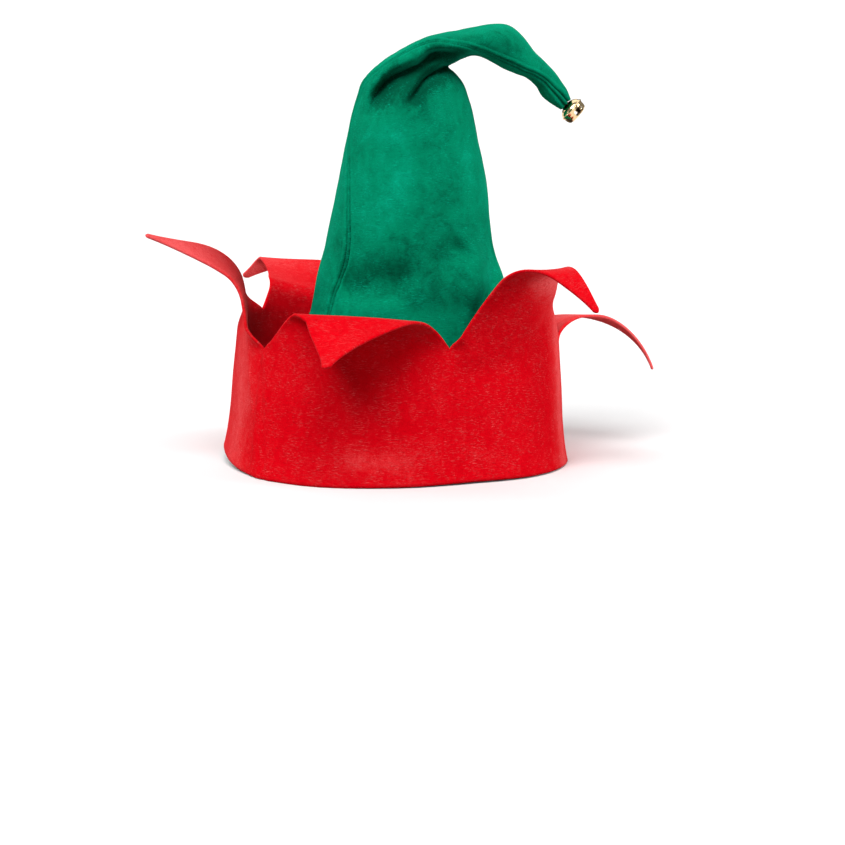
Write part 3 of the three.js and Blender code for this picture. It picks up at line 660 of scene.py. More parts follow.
def crown_relief(sizes, grid, row, turn, off):
    """How far each place of the crown is pressed in: along its normal, by broad dents and by the seam's two
    grooves beside its low welt, and level across the peak, by the folds, which are bumps of their distance
    from a line and run out at both its ends. The third result is the painted shade in the deep folds and
    the seam's groove, with a painted highlight on the seam's welt."""
    depth, pressed, painted_shading = np.zeros_like(row), np.zeros_like(row), np.zeros_like(row)
    for at, span, bearing, width, slant, deep in DENTS:
        side = wrapped(turn - bearing - slant * (row - at))
        depth += deep * sizes.crown_reach * bump((row - at) / span) * bump(side / width)
    fall = direction(sizes.fall_bearing)
    flat = np.stack((grid[..., :2] @ fall, grid[..., 2]), -1)
    near = np.sin(np.radians(turn))
    scale = np.array((sizes.crown_reach, sizes.hat_height))
    darkens_over, darkens_from, darkest = FOLD_PAINTED_SHADE
    for side, deep, above, below, line in CREASES:
        away, inside = line_distance(flat, np.asarray(line) * scale)
        away = -away if line[0][0] > line[-1][0] else away
        width = np.where(away > 0, above, below)
        shown = ease(near * side * 4 - 0.05)
        # A fold starts a little deep already, is full an eighth along, and runs out over the last third.
        shape = bump(away / width) * shown * ease(inside * 5 + 0.35) * ease((1 - inside) * 3)
        pressed += side * deep * shape
        # Only the deep folds get painted shade, over a somewhat wider strip than they press in.
        fold_shade = np.clip(deep / darkens_over - darkens_from, 0, 1) * bump(0.75 * away / width)
        painted_shading += fold_shade * shown * ease((1 - inside) * 4)
    girth = np.linalg.norm(np.roll(grid, -1, 1) - grid, axis=-1).sum(1, keepdims=True)
    beside = np.abs(off / 360 * girth)
    faint_row, faint_rows, fainter = SEAM_FAINT
    free = ramp(row, *SEAM_SHOWN) * (1 - fainter * bump((row - faint_row) / faint_rows))
    depth += free * sum(amount * bump((beside - at) / width) for at, width, amount in SEAM_PRESSED)
    # Painted shade in the seam's groove, and a painted highlight on its welt.
    seam_shading = sum(amount * bump((beside - at) / width) for at, width, amount in SEAM_PAINTED_SHADING)
    return depth, pressed, darkest * np.clip(painted_shading, 0, 1) + free * seam_shading


def crown_sheet(sizes, columns=240, closeness=0.6, smoothing=9):
    """The crown's middle surface on a grid of rows up and columns round from its seam, pressed in by its
    relief. The columns stand closer at the seam, by a sine of the turn, and the rows' spread is smoothed by
    a mean. With it the faces, which places lie on the hem, half the felt's thickness, where each place lies
    in the cloth and in the table, and its painted shade in the folds and the seam."""
    rows = np.arange(CROWN_SPREAD["faces"][-1] + 1)
    row = np.interp(rows, CROWN_SPREAD["faces"], CROWN_SPREAD["row"])
    padded = np.pad(row, smoothing // 2, mode="reflect", reflect_type="odd")
    row = np.convolve(padded, np.full(smoothing, 1 / smoothing), "valid")
    row = row[:, None] * np.ones((1, columns))
    around = wrapped(np.arange(columns) / columns * 360)
    off = -(around - closeness * np.degrees(np.sin(np.radians(around))))[None, :] * np.ones_like(row)
    seam = uneven_table(CROWN_SEAM["row"], CROWN_SEAM["turn"], row[:, :1])
    turn = seam + off
    grid = crown_place(sizes, row, turn)
    normal = grid_normals(grid)
    # The last of these is the painted shade of the folds and the seam's groove, with a painted highlight on
    # its welt.
    depth, pressed, groove = crown_relief(sizes, grid, row, turn, off)
    across = np.append(direction(sizes.fall_bearing - 90), 0)
    grid = grid - normal * depth[..., None] - across * pressed[..., None]
    last = CROWN.shape[1] - 1
    slow = sum(amount * ripple(grid, wave, seed) for amount, wave, seed in CROWN_WAVES)
    grid = grid + normal * (slow * ramp(row, *WAVES_SHOWN) * ramp(row, last, last - 2))[..., None]
    ids = np.arange(grid.shape[0] * columns).reshape(grid.shape[0], columns)
    faces = grid_faces(np.column_stack((ids, ids[:, 0])))
    half = mix(sizes.crown_felt, sizes.tip_felt, ramp((row / last).ravel(), 0.8, 1)) / 2
    level = np.zeros(ids.size, bool)
    level[:columns] = True
    round_cloth = np.radians(off) * sizes.crown_reach / 2
    steps = np.linalg.norm(np.diff(grid, axis=0), axis=-1).mean(1)
    up_cloth = np.concatenate(([0], np.cumsum(steps)))[:, None] * np.ones_like(off)
    cloth = np.stack((round_cloth, up_cloth, np.zeros_like(off)), -1).reshape(-1, 3)
    where = np.stack((row, turn % 360), -1).reshape(-1, 2)
    return grid.reshape(-1, 3), faces, level, half, cloth, where, groove.ravel()


# Meshes


def grid_faces(ids):
    """The four-sided faces between the rows and columns of a grid of numbers."""
    return np.stack((ids[:-1, :-1], ids[:-1, 1:], ids[1:, 1:], ids[1:, :-1]), -1).reshape(-1, 4)


def face_normals(places, faces):
    """Each face's normal, twice as long as its area: its two diagonals' cross product."""
    corners = places[faces]
    return np.cross(corners[:, 2] - corners[:, 0], corners[:, 3] - corners[:, 1])


def felt_wall(middle, faces, half, level):
    """A sheet grown into a wall: every place moves by half the thickness both ways along the sheet's
    normal, and along each cut edge a third row of places, EDGE_ROUNDING as far out, rounds the edge.
    The edge at level stays upright, and is raised by what its rounding needs. The last result is each
    place's number in the sheet."""
    turned = face_normals(middle, faces)
    normals = np.zeros_like(middle)
    for i in range(4):
        np.add.at(normals, faces[:, i], turned)
    normals[level, 2] = 0
    normals /= np.linalg.norm(normals, axis=1, keepdims=True)
    half = np.broadcast_to(half, len(middle))[:, None]
    middle = middle + level[:, None] * half * (0, 0, EDGE_ROUNDING)
    n = len(middle)
    edges = np.concatenate([faces[:, [i, (i + 1) % 4]] for i in range(4)])
    cut = edges[~np.isin(edges[:, 0] * n + edges[:, 1], edges[:, 1] * n + edges[:, 0])]
    away = np.zeros_like(middle)
    out = np.cross(middle[cut[:, 1]] - middle[cut[:, 0]], normals[cut[:, 0]])
    np.add.at(away, cut[:, 0], out)
    np.add.at(away, cut[:, 1], out)
    rim = np.unique(cut)
    away = away[rim] / np.linalg.norm(away[rim], axis=1, keepdims=True)
    number = np.zeros(n, int)
    number[rim] = 2 * n + np.arange(len(rim))
    rounded = middle[rim] + away * half[rim] * EDGE_ROUNDING
    places = np.vstack((middle + normals * half, middle - normals * half, rounded))
    a, b = cut[:, 0], cut[:, 1]
    near = np.column_stack((b, a, number[a], number[b]))
    far = np.column_stack((number[b], number[a], n + a, n + b))
    source = np.concatenate((np.arange(n), np.arange(n), rim))
    return places, np.vstack((faces, n + faces[:, ::-1], near, far)), source


def make_piece(name, places, faces, materials, attributes=()):
    """Puts worked-out places and faces into a new smooth mesh object, with values at its places as
    attributes."""
    mesh = bpy.data.meshes.new(name)
    mesh.from_pydata(places, [], faces)
    mesh.validate()
    mesh.shade_smooth()
    for key, values in attributes:
        kind, slot = ("FLOAT", "value") if values.ndim == 1 else ("FLOAT_VECTOR", "vector")
        mesh.attributes.new(key, kind, "POINT").data.foreach_set(slot, values.astype(np.float32).ravel())
    for material in materials:
        mesh.materials.append(material)
    piece = bpy.data.objects.new(name, mesh)
    bpy.context.scene.collection.objects.link(piece)
    return piece


def felt_piece(name, felt, sheet, half, brushed, cloth):
    """A sheet's wall as a piece with its values of nap and of painted light and shade, and the area of its
    cut: half its normals' lengths."""
    middle, faces, level = sheet
    places, all_faces, source = felt_wall(middle, faces, half, level)
    values = [("brushed", brushed[source]), ("cloth", cloth[source])]
    piece = make_piece(name, places, all_faces, [felt], values)
    return piece, np.linalg.norm(face_normals(middle, faces), axis=1).sum() / 2


def settle(piece, node):
    """Makes a piece stand for a CAD node on the hat's one body."""
    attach(piece, "root")
    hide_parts(node)


def axes(x, y, z, place):
    """The matrix that turns the three axes to given directions and moves the origin to a place."""
    matrix = np.identity(4)
    matrix[:3, 0], matrix[:3, 1], matrix[:3, 2], matrix[:3, 3] = x, y, z, place
    return Matrix(matrix.tolist())


# Finishes


def plug(tree, made, inputs):
    """Gives sockets of a node, by name or number, their values or sources."""
    for key, value in inputs:
        if isinstance(value, bpy.types.NodeSocket):
            tree.links.new(value, made.inputs[key])
        else:
            made.inputs[key].default_value = value


def node(tree, kind, inputs=(), **settings):
    """A node of a tree with its own settings and inputs."""
    made = tree.nodes.new(kind)
    for key, value in settings.items():
        setattr(made, key, value)
    plug(tree, made, inputs)
    return made


def new_material(name):
    """A material, its node tree and a function that sets inputs of its shader."""
    material = bpy.data.materials.new(name)
    material.use_nodes = True
    tree = material.node_tree
    return material, tree, lambda *inputs: plug(tree, tree.nodes["Principled BSDF"], inputs)


def object_place(tree):
    """The place on the piece, in its own frame."""
    return node(tree, "ShaderNodeTexCoord").outputs["Object"]


def blend_colours(tree, factor, first, second):
    """The colour at the share factor between two others."""
    made = node(tree, "ShaderNodeMix", data_type="RGBA")
    number = {socket.identifier: i for i, socket in enumerate(made.inputs)}
    given = (("Factor_Float", factor), ("A_Color", first), ("B_Color", second))
    plug(tree, made, ((number[name], value) for name, value in given))
    return next(socket for socket in made.outputs if socket.identifier == "Result_Color")


def stretch(tree, value, low, high):
    """A value's range from low to high, stretched softly to 0 and 1."""
    inputs = (("Value", value), ("From Min", low), ("From Max", high))
    return node(tree, "ShaderNodeMapRange", inputs, interpolation_type="SMOOTHSTEP").outputs["Result"]


def scaled(colour, *shares):
    """A colour with its red, green and blue scaled, each by its own share or all by the one."""
    return tuple(share * value for share, value in zip(shares * (3 // len(shares)), colour)) + (1,)


def node_maths(tree, operation, *values):
    """What a maths node makes of up to three values."""
    return node(tree, "ShaderNodeMath", enumerate(values), operation=operation).outputs[0]


def felt_nap():
    """The node group of both felts: the nap's blotches and strokes and its single fibres, pale ones
    that lie in three directions of the cloth and dark ones in two, as a colour and a height."""
    name = "Felt nap"
    if name in bpy.data.node_groups:
        return bpy.data.node_groups[name]
    tree = bpy.data.node_groups.new(name, "ShaderNodeTree")
    for label, kind, value in (
        ("Colour", "NodeSocketColor", (0.5, 0.5, 0.5, 1)),
        ("Brushed colour", "NodeSocketColor", (0.7, 0.7, 0.7, 1)),
        ("Deep colour", "NodeSocketColor", (0.3, 0.3, 0.3, 1)),
        ("Cloth", "NodeSocketVector", (0, 0, 0)),
        ("Blotches", "NodeSocketFloat", 1.0),
        ("Fibres", "NodeSocketFloat", 1.0),
        ("Brushed", "NodeSocketFloat", 0.0),
    ):
        tree.interface.new_socket(label, in_out="INPUT", socket_type=kind).default_value = value
    tree.interface.new_socket("Colour", in_out="OUTPUT", socket_type="NodeSocketColor")
    tree.interface.new_socket("Height", in_out="OUTPUT", socket_type="NodeSocketFloat")
    given = node(tree, "NodeGroupInput").outputs
    place = object_place(tree)

    def noise(vector, *values):
        names = ("Scale", "Detail", "Roughness", "Distortion")
        return node(tree, "ShaderNodeTexNoise", (("Vector", vector), *zip(names, values))).outputs["Fac"]

    def maths(operation, first, second, third=0.0):
        return node_maths(tree, operation, first, second, third)

    def fibres(turn, along, across, low, high):
        inputs = (
            ("Vector", given["Cloth"]), ("Location", (turn, 2 * turn, 0)), ("Rotation", (0, 0, turn)),
            ("Scale", (along, across, 1)),
        )
        laid = node(tree, "ShaderNodeMapping", inputs).outputs["Vector"]
        return stretch(tree, noise(laid, 1.0, 2, 0.5, 0.5), low, high)

    clouds = maths("MULTIPLY_ADD", noise(place, 120, 3, 0.6, 1.2), 0.7, noise(place, 38, 3, 0.6, 0.8))
    blotches = maths("MULTIPLY", maths("SUBTRACT", clouds, 0.85), given["Blotches"])
    strokes = maths("SUBTRACT", noise(place, 330, 4, 0.7, 1.8), 0.5)
    fine = maths("SUBTRACT", noise(place, 2200, 3, 0.75, 0.0), 0.5)
    tufts = stretch(tree, maths("MULTIPLY_ADD", blotches, 0.4, noise(place, 110, 3, 0.6, 1.5)), 0.34, 0.7)
    pale_fibres = fibres(0.12, 380, 2000, 0.56, 0.74)
    pale_fibres = maths("MAXIMUM", pale_fibres, fibres(-0.75, 420, 2100, 0.57, 0.75))
    pale_fibres = maths("MAXIMUM", pale_fibres, fibres(0.85, 440, 2300, 0.57, 0.75))
    pale_fibres = maths("MULTIPLY", maths("MULTIPLY", pale_fibres, tufts), given["Fibres"])
    dark_fibres = maths("MAXIMUM", fibres(-0.3, 340, 1700, 0.58, 0.78), fibres(1.3, 360, 1900, 0.58, 0.78))
    nap = maths("MULTIPLY_ADD", strokes, 0.55, blotches)
    nap = maths("MULTIPLY_ADD", fine, 0.6, nap)
    spot_breakup = maths("MULTIPLY_ADD", noise(place, 700, 3, 0.7, 2.0), 1.4, 0.1)
    # This input carries flat and standing nap, and painted light and shade from the spots and folds.
    nap = maths("MULTIPLY_ADD", given["Brushed"], spot_breakup, nap)
    pale = maths("MULTIPLY", stretch(tree, nap, 0.0, 1.1), 0.8)
    pale = maths("MULTIPLY_ADD", pale_fibres, 0.32, pale)
    deep = maths("MULTIPLY_ADD", dark_fibres, 0.4, maths("MULTIPLY", stretch(tree, nap, 0.15, -0.8), 0.9))
    clear = node(tree, "ShaderNodeClamp", (("Value", pale),)).outputs[0]
    dim = node(tree, "ShaderNodeClamp", (("Value", deep),)).outputs[0]
    colour = blend_colours(tree, dim, given["Colour"], given["Deep colour"])
    colour = blend_colours(tree, clear, colour, given["Brushed colour"])
    height = maths("MULTIPLY_ADD", pale_fibres, 1.0, maths("MULTIPLY_ADD", strokes, 0.9, fine))
    height = maths("MULTIPLY_ADD", dark_fibres, -0.6, height)
    node(tree, "NodeGroupOutput", (("Colour", colour), ("Height", height)))
    return tree


def felt_material(name, main, brushed, deep, painted_sheen, blotches, fibres):
    """Felt: the nap's colour and bump, and a painted sheen of the fibres that stand up: paler where it is
    seen along its face."""
    material, tree, finish = new_material(name)
    nap_and_light_values = node(tree, "ShaderNodeAttribute", attribute_name="brushed").outputs["Fac"]
    cloth = node(tree, "ShaderNodeAttribute", attribute_name="cloth").outputs["Vector"]
    inputs = (
        ("Colour", main), ("Brushed colour", brushed), ("Deep colour", deep), ("Cloth", cloth),
        ("Blotches", blotches), ("Fibres", fibres), ("Brushed", nap_and_light_values),
    )
    nap = node(tree, "ShaderNodeGroup", inputs, node_tree=felt_nap()).outputs
    # Painted sheen: the colour turns towards the pale colour where the felt is seen along its face.
    along = node(tree, "ShaderNodeLayerWeight", (("Blend", 0.5),)).outputs["Facing"]
    inputs = (("Value", along), ("From Min", 0.6), ("From Max", 1.0), ("To Max", painted_sheen))
    haze = node(tree, "ShaderNodeMapRange", inputs).outputs["Result"]
    inputs = (("Strength", 0.6), ("Distance", 0.0005), ("Height", nap["Height"]))
    bumps = node(tree, "ShaderNodeBump", inputs).outputs["Normal"]
    finish(
        ("Base Color", blend_colours(tree, haze, nap["Colour"], brushed)), ("Normal", bumps),
        ("Roughness", 1.0), ("Specular IOR Level", 0.02),
        ("Sheen Weight", 0.1), ("Sheen Roughness", 0.3), ("Sheen Tint", brushed),
    )
    return material


def brass_material(colour):
    """Polished brass with a faint unevenness in its colour and roughness, dull inside the bell and darkened
    there with painted shade."""
    material, tree, finish = new_material("Polished brass")
    inside = node(tree, "ShaderNodeAttribute", attribute_name="inside").outputs["Fac"]
    inputs = (("Vector", object_place(tree)), ("Scale", 900.0), ("Detail", 3.0))
    haze = node(tree, "ShaderNodeTexNoise", inputs).outputs["Fac"]
    inputs = (("Value", haze), ("To Min", 0.08), ("To Max", 0.24))
    rough = node(tree, "ShaderNodeMapRange", inputs).outputs["Result"]
    dull = node_maths(tree, "MULTIPLY_ADD", inside, 0.35, rough)
    tint = blend_colours(tree, haze, colour, scaled(colour, 1, 0.9, 0.75))
    # Painted shade: the bell's hollow is darkened where it lies in shade.
    shade = blend_colours(tree, inside, tint, scaled(colour, 0.16, 0.13, 0.12))
    finish(("Base Color", shade), ("Roughness", dull), ("Metallic", 1))
    return material


def thread_material(colour):
    """Sewing thread: plies as fine slanting waves in colour and bump."""
    material, tree, finish = new_material("Green thread")
    inputs = (("Vector", object_place(tree)), ("Scale", 900.0), ("Distortion", 1.5))
    plies = node(tree, "ShaderNodeTexWave", inputs, bands_direction="DIAGONAL").outputs["Fac"]
    bumps = node(tree, "ShaderNodeBump", (("Distance", 0.0001), ("Height", plies))).outputs["Normal"]
    shade = blend_colours(tree, plies, scaled(colour, 0.5), colour)
    finish(("Base Color", shade), ("Normal", bumps), ("Roughness", 0.8))
    return material


def floor_material(colour):
    """A pale matt floor with a barely uneven tone, which throws only a little of its light back onto
    the hat."""
    material, tree, finish = new_material("Pale floor")
    inputs = (("Vector", object_place(tree)), ("Scale", 3.0))
    cloud = node(tree, "ShaderNodeTexNoise", inputs).outputs["Fac"]
    thrown = node(tree, "ShaderNodeLightPath").outputs["Is Diffuse Ray"]
    tone = blend_colours(tree, cloud, colour, scaled(colour, 0.985))
    finish(("Base Color", blend_colours(tree, thrown, tone, scaled(colour, 0.25))), ("Roughness", 0.9))
    return material


# Operators


class ELFHAT_OT_band(bpy.types.Operator):
    """Make the red band with its five folded points"""

    bl_idname = "elf_hat.make_band"
    bl_label = "Make the band"

    def execute(self, context):
        hat = context.scene.elf_hat
        sizes, colours = hat.sizes, hat.colours
        *sheet, up, along, plan = band_sheet(sizes)
        shades = (colours.red, colours.red_pale, colours.red_deep)
        felt = felt_material("Red felt", *shades, *RED_FELT)
        cloth = np.column_stack((along, up, np.zeros(len(up))))
        # Painted light on the band: pale spots where the points catch light from behind and light grazes
        # its edges, with some flat nap.
        brushed = nap_and_light_spots(cloth / plan.round, BAND_NAP_AND_LIGHT)
        piece, area = felt_piece("band_felt", felt, sheet, sizes.band_felt / 2, brushed, cloth)
        settle(piece, "band")
        return {"FINISHED"}


class ELFHAT_OT_crown(bpy.types.Operator):
    """Make the green crown with its bent peak"""

    bl_idname = "elf_hat.make_crown"
    bl_label = "Make the crown"

    def execute(self, context):
        hat = context.scene.elf_hat
        sizes, colours = hat.sizes, hat.colours
        *sheet, half, cloth, where, painted_shading = crown_sheet(sizes)
        shades = (colours.green, colours.green_pale, colours.green_deep)
        felt = felt_material("Green felt", *shades, *GREEN_FELT)
        # Painted shade in the crown's deep folds, under its peak and in the seam's groove, and a painted
        # highlight on the seam's welt.
        brushed = nap_and_light_spots(where, CROWN_NAP_AND_SHADE) - CROWN_PAINTED_SHADE * painted_shading
        piece, area = felt_piece("crown_felt", felt, sheet, half, brushed, cloth)
        settle(piece, "crown")
        return {"FINISHED"}


# The bell


def revolve(profile, columns=BELL_COLUMNS):
    """A closed form turned round its own Y axis: a profile of radius and height, from pole to pole."""
    turn = np.arange(columns) / columns * 2 * np.pi
    ring = profile[1:-1]
    grid = np.stack(
        (ring[:, :1] * np.cos(turn), ring[:, 1:] * np.ones(columns), -ring[:, :1] * np.sin(turn)), -1
    ).reshape(-1, 3)
    ids = np.arange(len(grid)).reshape(len(ring), columns)
    faces = grid_faces(np.column_stack((ids, ids[:, 0]))).tolist()
    low, high = len(grid), len(grid) + 1
    after = np.roll(ids, -1, 1)
    faces += [[low, here, beside] for here, beside in zip(after[0].tolist(), ids[0].tolist())][::-1]
    faces += [[high, here, beside] for here, beside in zip(ids[-1].tolist(), after[-1].tolist())]
    places = np.vstack((grid, (0, profile[0, 1], 0), (0, profile[-1, 1], 0)))
    return places, faces


def cup_outline(sizes, inset, steps=80):
    """Half the bell's outline, from pole to pole, an inset in from its face: an oval's above the joint,
    and below it a squarer one, with the sine and cosine raised to a power under one."""
    angle = np.linspace(-np.pi / 2, np.pi / 2, steps + 1)
    below = angle < 0
    power = np.where(below, BELL_SQUARE, 1)
    height = np.where(below, sizes.bell_foot, sizes.bell_dome) - inset
    out = np.abs(np.cos(angle)) ** power * (sizes.bell_diameter / 2 - inset)
    out[[0, -1]] = 0
    return np.column_stack((out, np.sign(angle) * np.abs(np.sin(angle)) ** power * height))


class ELFHAT_OT_bell(bpy.types.Operator):
    """Make the small brass bell with its crimped joint, windows, slots and eye"""

    bl_idname = "elf_hat.make_bell"
    bl_label = "Make the bell"

    def execute(self, context):
        hat = context.scene.elf_hat
        sizes, colours = hat.sizes, hat.colours
        outline = cup_outline(sizes, 0)
        # The crimp stands out about the joint as a flat-topped bump: the bell curve of the height's
        # fourth power.
        outline[1:-1, 0] += sizes.bell_crimp * np.exp(-((outline[1:-1, 1] / (0.8 * sizes.bell_crimp)) ** 4))
        piece = make_piece("bell_ball", *revolve(outline), [brass_material(colours.brass)])
        cutters = [make_piece("bell_hollow", *revolve(cup_outline(sizes, sizes.bell_wall)), [])]
        cutters += [slot_cutter(sizes, sizes.bell_turn + turn) for turn in (0, 90)]
        cutters += [window_cutter(sizes, sizes.bell_turn + turn) for turn in (0, 90, 180, 270)]
        for cutter in cutters:
            cut_with(context, piece, cutter, "DIFFERENCE")
        cut_with(context, piece, eye_ring(sizes), "UNION")
        mark_shaded_inside(piece.data, sizes)
        piece.data.transform(bell_seat(sizes))
        piece.data.shade_smooth()
        piece.data.set_sharp_from_angle(angle=math.radians(40))
        settle(piece, "bell")
        return {"FINISHED"}


def slot_cutter(sizes, turn):
    """A bar as wide as a slot that crosses the bell's foot: a box, scaled, moved down and turned."""
    made = bmesh.new()
    bmesh.ops.create_cube(made, size=1)
    size = (sizes.bell_diameter * 0.7, sizes.bell_foot, sizes.slot_width)
    bmesh.ops.scale(made, verts=made.verts, vec=size)
    bmesh.ops.translate(made, verts=made.verts, vec=(0, -sizes.bell_foot, 0))
    bmesh.ops.rotate(made, verts=made.verts, matrix=Matrix.Rotation(math.radians(turn), 3, "Y"))
    mesh = bpy.data.meshes.new("bell_slot")
    made.to_mesh(mesh)
    made.free()
    piece = bpy.data.objects.new("bell_slot", mesh)
    bpy.context.scene.collection.objects.link(piece)
    return piece


def window_cutter(sizes, turn, count=64):
    """A bar through a window: a rectangle with round corners, its sine and cosine raised to a power
    under one, carried straight outwards."""
    angle = np.arange(count) / count * 2 * np.pi
    c, s = np.cos(angle), np.sin(angle)
    across = np.sign(c) * np.abs(c) ** WINDOW_SQUARE * sizes.window_width / 2
    up = np.sign(s) * np.abs(s) ** WINDOW_SQUARE * sizes.window_height / 2
    up -= (sizes.bell_crimp + sizes.bell_foot) / 2
    reaches = (sizes.bell_diameter * reach for reach in (0.3, 0.8))
    ends = [np.column_stack((across, up, np.full(count, reach))) for reach in reaches]
    way = np.array(Matrix.Rotation(math.radians(turn), 3, "Y"))
    ids = np.arange(2 * count).reshape(2, count)
    faces = grid_faces(np.column_stack((ids, ids[:, 0]))).tolist()
    faces += [ids[0, ::-1].tolist(), ids[1].tolist()]
    return make_piece("bell_window", np.vstack(ends) @ way.T, faces, [])


def mark_shaded_inside(mesh, sizes):
    """Marks the places of the bell's hollow, for the metal's dull inside and its painted shade: those well
    within the outline, where the powers of the way out and the height add up to less than 1."""
    places = np.empty(len(mesh.vertices) * 3)
    mesh.vertices.foreach_get("co", places)
    places = places.reshape(-1, 3)
    below = places[:, 1] < 0
    height = np.where(below, sizes.bell_foot, sizes.bell_dome)
    out = np.hypot(places[:, 0], places[:, 2]) / (sizes.bell_diameter / 2)
    power = np.where(below, 2 / BELL_SQUARE, 2)
    size = (out**power + (np.abs(places[:, 1]) / height) ** power) ** (1 / power)
    inside = ease((0.97 - size) / 0.08) * (places[:, 1] < sizes.bell_dome)
    mesh.attributes.new("inside", "FLOAT", "POINT").data.foreach_set("value", inside)


def eye_ring(sizes, around=40, wire=16):
    """The bell's wire eye: a circle of wire carried round a circle, standing on the top."""
    major, minor = (sizes.shank_eye + sizes.shank_wire) / 2, sizes.shank_wire / 2
    u = np.arange(around)[:, None] / around * 2 * np.pi
    v = np.arange(wire)[None, :] / wire * 2 * np.pi
    across = major + minor * np.cos(v)
    grid = np.stack((across * np.cos(u), across * np.sin(u), minor * np.sin(v) * np.ones_like(u)), -1)
    grid[..., 1] += sizes.bell_dome + sizes.shank_eye / 2 + sizes.shank_wire * 0.1
    ids = np.arange(around * wire).reshape(around, wire)
    ids = np.vstack((ids, ids[:1]))
    return make_piece("bell_eye", grid.reshape(-1, 3), grid_faces(np.column_stack((ids, ids[:, 0]))), [])


def cut_with(context, piece, tool, operation):
    """Cuts a tool out of a piece, or joins it on, and takes the tool away."""
    change = piece.modifiers.new("cut", "BOOLEAN")
    change.operation = operation
    change.solver = "EXACT"
    change.object = tool
    depsgraph = context.evaluated_depsgraph_get()
    mesh = bpy.data.meshes.new_from_object(piece.evaluated_get(depsgraph))
    piece.modifiers.clear()
    old = piece.data
    piece.data = mesh
    mesh.name = piece.name
    bpy.data.meshes.remove(old)
    bpy.data.objects.remove(tool)


def bell_seat(sizes):
    """Where the bell hangs: below the mouth at the crown's tip, its axis tilted down along the fall, as
    far out as its dome may go before it meets the mouth's edge with the touch gap between them."""
    end = CROWN[:, -1]
    over = np.array((end[0] * sizes.crown_reach, end[1] * sizes.hat_height))
    under = np.array((end[2] * sizes.crown_reach, end[3] * sizes.hat_height))
    half = np.linalg.norm(over - under) / 2
    edge = min(half, end[4] * sizes.crown_reach) - sizes.tip_felt / 2
    dome = math.sqrt(max(1 - (edge / (sizes.bell_diameter / 2 + sizes.touch_gap)) ** 2, 0))
    below = (sizes.bell_dome + sizes.touch_gap) * dome + sizes.tip_felt / 2
    tilt = math.radians(sizes.bell_tilt)
    middle = (over + under) / 2 + np.array((math.cos(tilt), -math.sin(tilt))) * below
    fall, across = direction(sizes.fall_bearing), direction(sizes.fall_bearing - 90)
    up = np.array((-fall[0] * math.cos(tilt), -fall[1] * math.cos(tilt), math.sin(tilt)))
    across = np.array((across[0], across[1], 0))
    return axes(np.cross(up, across), up, across, (fall[0] * middle[0], fall[1] * middle[0], middle[1]))


class ELFHAT_OT_thread(bpy.types.Operator):
    """Give the thread that holds the bell its finish"""

    bl_idname = "elf_hat.finish_thread"
    bl_label = "Finish the thread"

    def execute(self, context):
        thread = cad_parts["bell_thread"]
        thread.data.materials.clear()
        thread.data.materials.append(thread_material(context.scene.elf_hat.colours.thread))
        return {"FINISHED"}


# The stage


class ELFHAT_OT_stage(bpy.types.Operator):
    """Lay the floor and set up the lights and the camera"""

    bl_idname = "elf_hat.set_stage"
    bl_label = "Set the stage"

    def execute(self, context):
        half = 30.0
        corners = [(-half, -half, 0), (half, -half, 0), (half, half, 0), (-half, half, 0)]
        finish = floor_material(context.scene.elf_hat.colours.floor)
        floor = make_piece("floor", corners, [(0, 1, 2, 3)], [finish])
        world = bpy.data.worlds.new("Pale studio")
        world.use_nodes = True
        world.node_tree.nodes["Background"].inputs["Color"].default_value = (1, 1, 1, 1)
        world.node_tree.nodes["Background"].inputs["Strength"].default_value = WORLD_STRENGTH
        context.scene.world = world
        seat = camera_seat()
        right, back = np.array(seat)[:3, 0], np.array(seat)[:3, 2]
        level = back * (1, 1, 0)
        for name, (aside, near, high), spread, strength in LIGHTS:
            light = add_light(context, name, "SUN", strength)
            light.data.angle = math.radians(spread)
            shine(light, aside * right + near * level + (0, 0, high), (0, 0, 1))
        for name, aside, facing, power in CARDS:
            light = add_light(context, name, "AREA", power)
            light.data.size = CARD_SIZE
            light.visible_camera = light.visible_glossy = False
            shine(light, -(facing * right + (0, 0, 1)), (0, 1, 0), aside * right + (0, 0, CARD_HEIGHT))
        camera = bpy.data.objects.new("Camera", bpy.data.cameras.new("Camera"))
        camera.data.sensor_width = 36
        camera.data.lens = CAMERA["lens"]
        camera.data.clip_start, camera.data.clip_end = 0.05, 200
        camera.matrix_world = seat
        context.scene.collection.objects.link(camera)
        context.scene.camera = camera
        context.scene.view_settings.view_transform = "Standard"
        return {"FINISHED"}


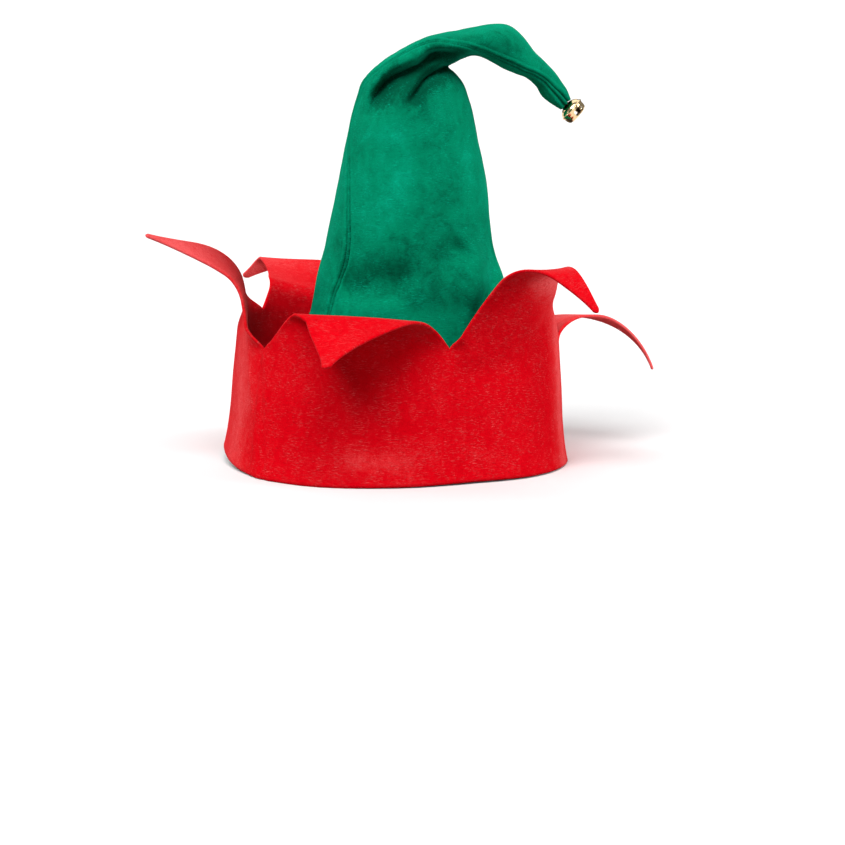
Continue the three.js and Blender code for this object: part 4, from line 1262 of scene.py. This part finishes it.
def camera_seat():
    """The camera's place: at its distance from the aim, turned with it to the photograph's angle."""
    azimuth, elevation, roll = (math.radians(CAMERA[angle]) for angle in ("azimuth", "elevation", "roll"))
    towards = np.array((math.sin(azimuth), -math.cos(azimuth), 0))
    right = np.array((math.cos(azimuth), math.sin(azimuth), 0))
    back = math.cos(elevation) * towards + math.sin(elevation) * np.array((0, 0, 1))
    up = -math.sin(elevation) * towards + math.cos(elevation) * np.array((0, 0, 1))
    aside, high = CAMERA["aim"]
    place = aside * right + np.array((0, 0, high)) + CAMERA["distance"] * back
    turned = math.cos(roll) * right + math.sin(roll) * up
    return axes(turned, -math.sin(roll) * right + math.cos(roll) * up, back, place)


def add_light(context, name, kind, energy):
    """A light of a kind and strength, in the scene."""
    light = bpy.data.objects.new(name, bpy.data.lights.new(name, kind))
    light.data.energy = energy
    context.scene.collection.objects.link(light)
    return light


def shine(light, away, upright, place=None):
    """Turns a light so that it shines from the direction away, level with upright, and moves it to a
    place, or for a distant light two metres out."""
    back = away / np.linalg.norm(away)
    right = np.cross(upright, back)
    right /= np.linalg.norm(right)
    light.matrix_world = axes(right, np.cross(back, right), back, 2 * back if place is None else place)


class ELFHAT_PT_panel(bpy.types.Panel):
    """The elf hat's sizes, colours and makers"""

    bl_idname = "ELFHAT_PT_panel"
    bl_label = "Elf hat"
    bl_space_type = "VIEW_3D"
    bl_region_type = "UI"
    bl_category = "Elf hat"

    def draw(self, context):
        hat = context.scene.elf_hat
        for group, title in ((hat.sizes, "Sizes"), (hat.colours, "Colours")):
            box = self.layout.box()
            box.label(text=title)
            for name in group.__annotations__:
                box.prop(group, name)
        for operator in OPERATORS:
            self.layout.operator(operator.bl_idname)


OPERATORS = (ELFHAT_OT_crown, ELFHAT_OT_band, ELFHAT_OT_bell, ELFHAT_OT_thread, ELFHAT_OT_stage)
CLASSES = (ElfHatSizes, ElfHatColours, ElfHat, *OPERATORS, ELFHAT_PT_panel)


def register():
    """Adds the hat's properties, operators and panel."""
    for made in CLASSES:
        bpy.utils.register_class(made)
    bpy.types.Scene.elf_hat = bpy.props.PointerProperty(type=ElfHat)


def unregister():
    """Takes them away again."""
    del bpy.types.Scene.elf_hat
    for made in reversed(CLASSES):
        bpy.utils.unregister_class(made)


def main():
    """Makes the whole hat and its stage, in order."""
    register()
    bpy.ops.elf_hat.make_crown()
    bpy.ops.elf_hat.make_band()
    bpy.ops.elf_hat.make_bell()
    bpy.ops.elf_hat.finish_thread()
    bpy.ops.elf_hat.set_stage()
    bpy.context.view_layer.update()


if __name__ == "__main__":
    main()
